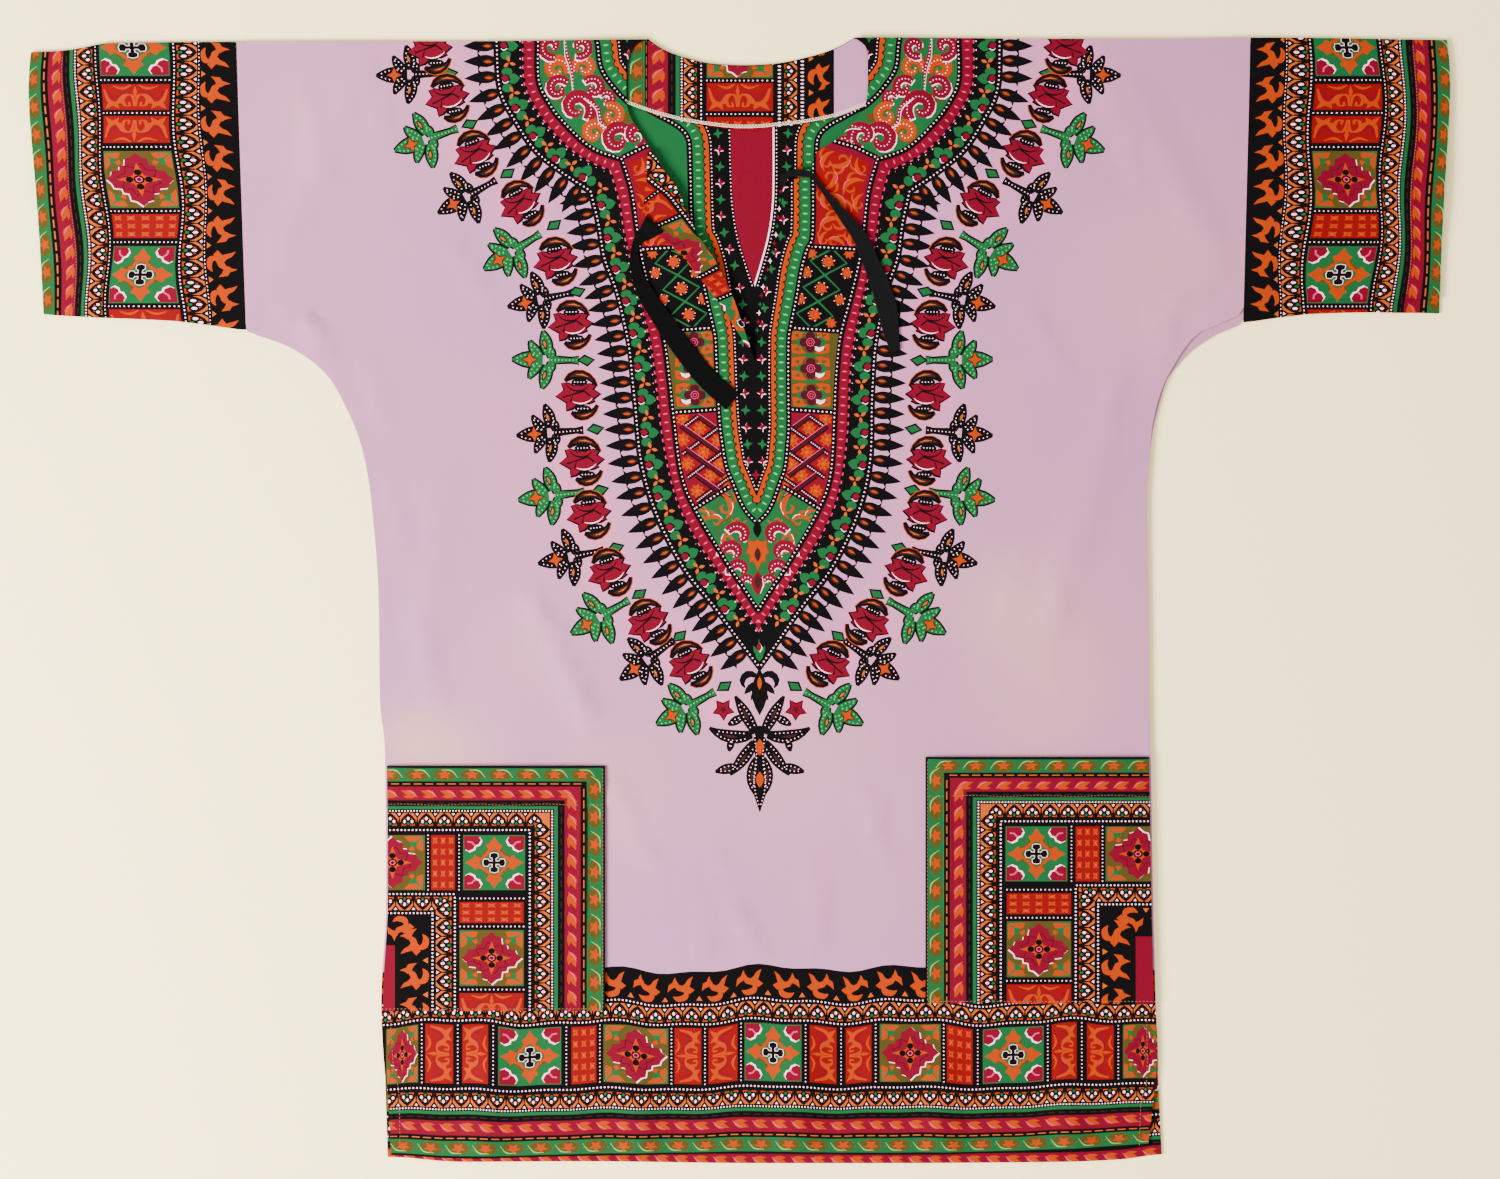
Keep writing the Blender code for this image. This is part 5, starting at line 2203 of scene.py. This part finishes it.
# How the border lies across a sleeve end: place across the border, share of the width from the seam
CUFF_ACROSS = (
    (-2.0, -0.02), (0, 0.0), (24, 0.172), (29, 0.19), (40.2, 0.29), (44.4, 0.315), (92.4, 0.66),
    (98.8, 0.685), (109.6, 0.76), (120, 0.83), (131.4, 0.905), (135.6, 0.94), (148.6, 1.02),
)
cuff_share = table_curve(CUFF_ACROSS, 1)


def cuff(name, cad_node, table, side, seam_shows):
    """A sleeve end: an upper and a lower printed wall that meet at its long edges."""
    keys = [side * (row[0] + row[1]) / 2 for row in table]
    bottom = lambda x: np.interp(side * x, keys, [row[2] for row in table])
    top = lambda x: np.interp(side * x, keys, [row[3] for row in table])
    rise = lambda x: np.interp(side * x, keys, [row[4] for row in table])
    seam = table[0]
    end = table[-1]

    def across(share, y):
        s = (y - seam[2]) / (seam[3] - seam[2])
        x0 = seam[1] + (seam[0] - seam[1]) * s
        s = min(1.0, max(0.0, (y - end[2]) / (end[3] - end[2])))
        x1 = end[1] + (end[0] - end[1]) * s + side * CUFF_END_BOW * math.sin(math.pi * s**3)
        return x0 + (x1 - x0) * share

    def place(s, t):
        share = float(cuff_share(t))
        y = -s
        low = (446 - y) / 220
        wave = (1.6 + 1.6 * low) * math.sin(y / 17.0 + 5 * share) + 1.4 * math.sin(y / 41.0)
        wave *= 4 * max(0.0, share) * max(0.0, 1 - share)
        return across(share, y) + wave, y

    def outline(raised):
        seam_line = [(across(0, y), y) for y in spread(seam[2] + raised, seam[3], 30)]
        head = [(x, float(top(x))) for x in spread(seam[0], end[0], 24)[1:-1]]
        end_line = [(across(1, y), y) for y in spread(end[3], end[2] + raised, 30)]
        foot = [(x, float(bottom(x)) + raised) for x in spread(end[1], seam[1], 24)[1:-1]]
        return seam_line + head + end_line + foot

    def swell(x, y):
        s = np.clip((y - bottom(x)) / (top(x) - bottom(x)), 0, 1)
        return rise(x) * np.sin(np.pi * s) ** 2 * (1 + 0.35 * np.sin(11 * s + x / 26))

    def edge_drop(x, y):
        near = np.minimum(y - bottom(x) - seam_shows, top(x) - y)
        return GAP * (1 - eased(near / 3))

    def upper(x, y):
        return 2 * WALL + GAP + swell(x, y) - edge_drop(x, y)

    def upper_under(x, y):
        return upper(x, y) - WALL + 0.02

    sheet = Print()
    strip = Strip(sheet, place, -470, -200)
    border(strip, CUFF_BLOCKS, middle=-310)
    shell = Shell()
    shell.wall(
        outline(seam_shows), sheet.shapes, upper, upper_under, CUFF_NET, "black",
        coarse=CUFF_HIDDEN_NET
    )
    shell.wall(outline(0.0), sheet.shapes, flat(WALL - 0.02), flat(0.0), CUFF_UNDER_NET, "black")
    thing = shell.object(name, INK_MATERIALS)
    ys = spread(end[2] + 4 + seam_shows, end[3] - 4, 50)
    rows = [([place(-y, 120.6) for y in ys], 2.6, 1.9, 0.24, upper)]
    thread = stitches(name + "_stitches", rows)
    declared(thing, cad_node)
    return thing


# Blocks of the pockets' upper leg and side leg: name, start, end from the inner top corner
POCKET_TOP_BLOCKS = (("cross", 62.6, 114.6), ("small", 118.6, 140.2), ("rosette", 142.6, 197))
POCKET_SIDE_BLOCKS = (
    ("plain", 95, 104.4), ("small", 107.6, 126.8), ("rosette", 130, 177.2), ("scroll", 180.4, 204)
)
POCKET_TOP_SCALE = 0.965
POCKET_SIDE_SCALE = 1.13


def pocket_print(inner_x, high, side):
    """The border turned round the pocket's upper inner corner."""
    sheet = Print()
    reach = 260

    def deep(t, scale):
        return (STRIP_WIDTH - t) * scale

    def fill(ink, t):
        x = inner_x + side * deep(t, POCKET_SIDE_SCALE)
        y = high - deep(t, POCKET_TOP_SCALE)
        sheet.add(ink, [(x, y), (x + side * reach, y), (x + side * reach, y - reach), (x, y - reach)])

    for ink, t in BORDER_FILLS:
        fill(ink, t)
    fill("crimson", SCROLL_TOP)

    def top_leg(t):
        return Strip(
            sheet, lambda s, t: (inner_x + side * s, high - deep(t, POCKET_TOP_SCALE)),
            deep(t, POCKET_SIDE_SCALE), 200
        )

    def side_leg(t):
        start = deep(t, POCKET_TOP_SCALE) + 2
        return Strip(
            sheet, lambda s, t: (inner_x + side * deep(t, POCKET_SIDE_SCALE), high - s), start, 215
        )

    border_rows(top_leg, POCKET_TOP_BLOCKS, middle=0)
    border_rows(side_leg, POCKET_SIDE_BLOCKS, middle=500)
    return sheet


POCKET_MOUTH_RISE = 1.2


def pocket(name, inner_x, low, high, side):
    sheet = pocket_print(inner_x, high, side)
    edge = front_left if side < 0 else front_right
    outer = lambda y: float(edge(y)) - side * 1.5
    outline = [(inner_x, y) for y in spread(low, high, 30)]
    outline += [(x, high) for x in spread(inner_x, outer(high), 24)[1:]]
    outline += [(outer(y), y) for y in spread(high, low, 30)[1:]]
    outline += [(x, low) for x in spread(outer(low), inner_x, 24)[1:-1]]

    def under(x, y):
        sides = np.abs(x - inner_x) * np.abs(x - edge(y))
        gape = POCKET_MOUTH_RISE * eased((y - high) / 45 + 1) * eased(sides / 2500)
        return front_top(x, y) + LAID_GAP + gape

    shell = Shell()
    shell.wall(
        outline, sheet.shapes, lambda x, y: under(x, y) + WALL, under, POCKET_NET, "black",
        coarse=POCKET_HIDDEN_NET
    )
    thing = shell.object(name + "_cloth", INK_MATERIALS)
    size = abs(outer(high) - inner_x) * MM
    face = lambda x, y: under(x, y) + WALL
    across = spread(inner_x + side * 2, outer(low) - side * 2, 40)
    inside = inner_x + side * 1.6
    rows = [
        ([(x, low + 1.8) for x in across], 3.0, 2.1, 0.26, face),
        ([(x, high - 31 + 0.4 * math.sin(x / 9)) for x in across], 2.7, 2.0, 0.24, face),
        ([(inside, y) for y in spread(low + 2, high - 2, 40)], 3.0, 2.1, 0.22, face),
    ]
    thread = stitches(name + "_stitches", rows)
    declared(thing, name)
    return thing


# How the border lies across the back neck facing: place across the border, distance across
FACING_ACROSS = (
    (-40, 118), (0, 76), (24, 55.2), (29, 46.4), (40.2, 36), (44.4, 28.8), (92.4, -27.2),
    (98.8, -33.6), (109.6, -44), (120, -56.8), (131.4, -72.8), (135.6, -75.2), (148.6, -91),
    (175, -120),
)
facing_across = table_curve(FACING_ACROSS, 1)
FACING_BLOCKS = (("rosette", -460, -416.4), ("scroll", -414.8, -390), ("small", -387.6, -340))


def neck_facing():
    sheet = Print()
    strip = Strip(sheet, lambda s, t: (float(facing_across(t)), -s), -455, -370)
    border(strip, FACING_BLOCKS, middle=-500)
    xs = spread(FACING_FOOT[0][0], FACING_FOOT[-1][0], 60)

    def head(x):
        inside = BACK_NECK[0][0] <= x <= BACK_NECK[-1][0]
        return float(back_neck(x) if inside else shoulder(x)) - 0.8

    outline = [(x, head(x)) for x in xs] + [(x, float(facing_foot(x))) for x in reversed(xs)]
    shell = Shell()
    low = WALL + GAP
    shell.wall(outline, sheet.shapes, flat(low + TRIM_WALL), flat(low), FACING_NET, "lilac")
    thing = shell.object("neck_facing_cloth", INK_MATERIALS)
    level = flat(low + TRIM_WALL)
    edge = [(x, float(facing_foot(x)) + 1.0) for x in spread(-103, 116, 80)]
    zigzag = []
    for n, (x, y, dx, dy) in enumerate(resampled(edge, 1.35)):
        zigzag.append((x, y + (1.5 if n % 2 else 0.2)))
    rows = [
        (edge, 2.0, 1.9, 0.34, level),
        ([(x, y + 2.0) for x, y in edge], 2.2, 2.0, 0.28, level),
        (zigzag, 1.3, 1.9, 0.26, level),
    ]
    thread = stitches("neck_overlock", rows, THREAD)
    declared(thing, "neck_facing")
    return thing


# Blocks along the turned-out facing, from its top down
FLAP_BLOCKS = (
    ("scroll", -6, 29), (
        "scroll_back", 31, 57
    ), ("rosette", 59.4, 107), ("small", 110, 131), ("cross", 133, 181),
)
# The fold of the facing runs aslant through the border: distance along it, place across there
FLAP_FOLD_S = (0, 80, 97, 123, 150, 185)
FLAP_FOLD_T = (24.0, 44.6, 50, 63, 72, 80)


def slit_facings():
    inner = smooth([row[:2] for row in FLAP], 6)
    outer = smooth([row[2:] for row in FLAP], 6)
    length = path_length(inner)
    walk = resampled(inner, 1.0)
    keys = list(range(len(walk)))
    rows = np.array(walk)

    def place(s, t):
        x, y, dx, dy = (float(np.interp(s, keys, rows[:, k])) for k in range(4))
        depth = t - float(np.interp(s, FLAP_FOLD_S, FLAP_FOLD_T))
        if s < 0 or s > len(walk):
            over = s if s < 0 else s - len(walk)
            x += dx * over
            y += dy * over
        return x + dy * depth, y - dx * depth

    sheet = Print()
    strip = Strip(sheet, place, -10, length + 8, 3.0)
    border(strip, FLAP_BLOCKS, middle=500)

    def under(x, y):
        return front_top(x, y) + LAID_GAP + 0.2

    shell = Shell()
    shell.wall(
        inner + outer[::-1], sheet.shapes, lambda x, y: under(x, y) + TRIM_WALL, under,
        SLIT_FACING_NET, "black"
    )
    thing = shell.object("slit_facing_left_cloth", INK_MATERIALS)
    declared(thing, "slit_facing_left")

    top, foot, shows, hidden = UNDER_FACING
    ys = spread(foot, top, 40)
    near = [(float(slit_right(y)) - shows, y) for y in ys]
    far = [(float(slit_right(y)) + hidden, y) for y in reversed(ys)]
    sheet = Print()
    for n, y in enumerate(spread(foot + 4, top - 4, 16)):
        x = float(slit_right(y)) - 1.2
        sheet.add(("green", "crimson", "white")[n % 3], [(x + a, y + b) for a, b in star(4, 2.4, 0.8)])
    shell = Shell()
    low = WALL + GAP
    shell.wall(
        far[::-1] + near[::-1], sheet.shapes, flat(low + TRIM_WALL), flat(low),
        SLIT_FACING_NET, "black"
    )
    thing = shell.object("slit_facing_right_cloth", INK_MATERIALS)
    declared(thing, "slit_facing_right")


def surface_under(node_name):
    """The top of a solid, as a function from place to height in millimetres."""
    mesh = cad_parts[node_name].data
    tree = BVHTree.FromPolygons([v.co for v in mesh.vertices], [p.vertices[:] for p in mesh.polygons])

    def height(x, y):
        hit = tree.ray_cast(Vector((x * MM, y * MM, 0.1)), Vector((0, 0, -1)))
        if hit[0] is None:
            hit = tree.find_nearest(Vector((x * MM, y * MM, 0.006)))
        return hit[0].z / MM

    return height


def tie(piece, cad_node, table, material):
    """A flat ribbon along its table, with a bead along each woven edge and a soft crown."""
    height = surface_under(cad_node)
    route = smooth(table, 8)
    heights = [height(x, y) for x, y, width in route]
    for _ in range(3):
        heights = [
            (heights[max(n - 1, 0)] + 2 * heights[n] + heights[min(n + 1, len(heights) - 1)]) / 4
            for n in range(len(heights))
        ]
    # across the ribbon: share of the half width, rise of its face
    section = ((-1.0, -0.35), (-0.94, 0.06), (-0.86, 0.1), (-0.78, 0.0), (-0.4, 0.05), (0.0, 0.1),
               (0.4, 0.05), (0.78, 0.0), (0.86, 0.1), (0.94, 0.06), (1.0, -0.35))
    points = []
    faces = []
    columns = len(section)
    for n, (x, y, width) in enumerate(route):
        ahead = route[min(n + 1, len(route) - 1)]
        behind = route[max(n - 1, 0)]
        run = Vector((ahead[0] - behind[0], ahead[1] - behind[1])).normalized()
        ripple = 0.12 * math.sin(n * 1.1)
        for share, lift in section:
            w = share * width / 2
            points.append(
                (x + run.y * w, y - run.x * w, heights[n] + lift + ripple * (1 - share * share))
            )
    count = len(points)
    points += [(x, y, z - TRIM_WALL * 0.9) for x, y, z in points]
    for j in range(len(route) - 1):
        for i in range(columns - 1):
            a = j * columns + i
            b = a + columns
            faces.append((a, b, b + 1, a + 1))
            faces.append((count + a, count + a + 1, count + b + 1, count + b))
        a = j * columns
        b = a + columns
        faces.append((a, count + a, count + b, b))
        a += columns - 1
        b += columns - 1
        faces.append((a, b, count + b, count + a))
    last = (len(route) - 1) * columns
    for i in range(columns - 1):
        faces.append((i, i + 1, count + i + 1, count + i))
        faces.append((last + i, count + last + i, count + last + i + 1, last + i + 1))
    mesh = closed_mesh(piece, points, faces, material)
    mesh.shade_smooth()
    mesh.set_sharp_from_angle(angle=math.radians(50))
    thing = bpy.data.objects.new(piece, mesh)
    bpy.context.scene.collection.objects.link(thing)
    length = path_length([p[:2] for p in route]) * MM
    width = max(row[2] for row in route) * MM
    declared(thing, cad_node)
    return thing


# Floor, room and lamp, in metres
FLOOR_HALF = 6
FLOOR_DROP = 0.0004
FLOOR_COLOUR = (0.97, 0.79, 0.4, 1.0)
FLOOR_ROUGHNESS = 0.8
ROOM_COLOUR = (1.0, 0.985, 0.96, 1.0)
ROOM_STRENGTH = 1.6
LAMP_PLACE = (-2.4, -0.9, 1.5)
LAMP_SIZE = (1.6, 1.2)
LAMP_ENERGY = 470

# Camera straight above the shirt, in metres and in millimetres of its lens and film
CAMERA_PLACE = (0.0088, 0.0088, 3.0)
LENS = 90
FILM_WIDTH = 36

# Ribbons: colour, roughness, sheen
VELVET = ((5, 5, 5), 0.8, 0.012)
COTTON = ((13, 12, 13), 0.85, 0.004)


def floor_and_light():
    mesh = bpy.data.meshes.new("floor")
    edit = bmesh.new()
    bmesh.ops.create_grid(edit, x_segments=4, y_segments=4, size=FLOOR_HALF)
    edit.to_mesh(mesh)
    edit.free()
    floor = bpy.data.objects.new("floor", mesh)
    floor.location.z = -FLOOR_DROP
    bpy.context.scene.collection.objects.link(floor)
    material = bpy.data.materials.new("pale_table")
    material.use_nodes = True
    tree = material.node_tree
    shader = tree.nodes["Principled BSDF"]
    shader.inputs["Base Color"].default_value = FLOOR_COLOUR
    shader.inputs["Roughness"].default_value = FLOOR_ROUGHNESS
    mesh.materials.append(material)

    world = bpy.data.worlds.new("soft_room")
    bpy.context.scene.world = world
    world.use_nodes = True
    back = world.node_tree.nodes["Background"]
    back.inputs["Color"].default_value = ROOM_COLOUR
    back.inputs["Strength"].default_value = ROOM_STRENGTH

    lamp = bpy.data.lights.new("window", "AREA")
    lamp.shape = "RECTANGLE"
    lamp.size, lamp.size_y = LAMP_SIZE
    lamp.energy = LAMP_ENERGY
    thing = bpy.data.objects.new("window", lamp)
    thing.location = LAMP_PLACE
    thing.rotation_euler = Vector(LAMP_PLACE).to_track_quat("Z", "Y").to_euler()
    bpy.context.scene.collection.objects.link(thing)


def camera():
    data = bpy.data.cameras.new("overhead")
    data.sensor_width = FILM_WIDTH
    data.lens = LENS
    thing = bpy.data.objects.new("overhead", data)
    thing.location = CAMERA_PLACE
    bpy.context.scene.collection.objects.link(thing)
    bpy.context.scene.camera = thing


camera()
floor_and_light()
back_panel()
front_panel()
cuff("cuff_left_cloth", "cuff_left", CUFF_LEFT, -1, 0.0)
cuff("cuff_right_cloth", "cuff_right", CUFF_RIGHT, 1, 11.0)
for pocket_row in POCKETS:
    pocket(*pocket_row)
neck_facing()
slit_facings()
velvet = ribbon_material("velvet", *VELVET)
cotton = ribbon_material("cotton_ribbon", *COTTON)
tie("tie_left_ribbon", "tie_left", TIE_LEFT, velvet)
tie("tie_right_ribbon", "tie_right", TIE_RIGHT, cotton)
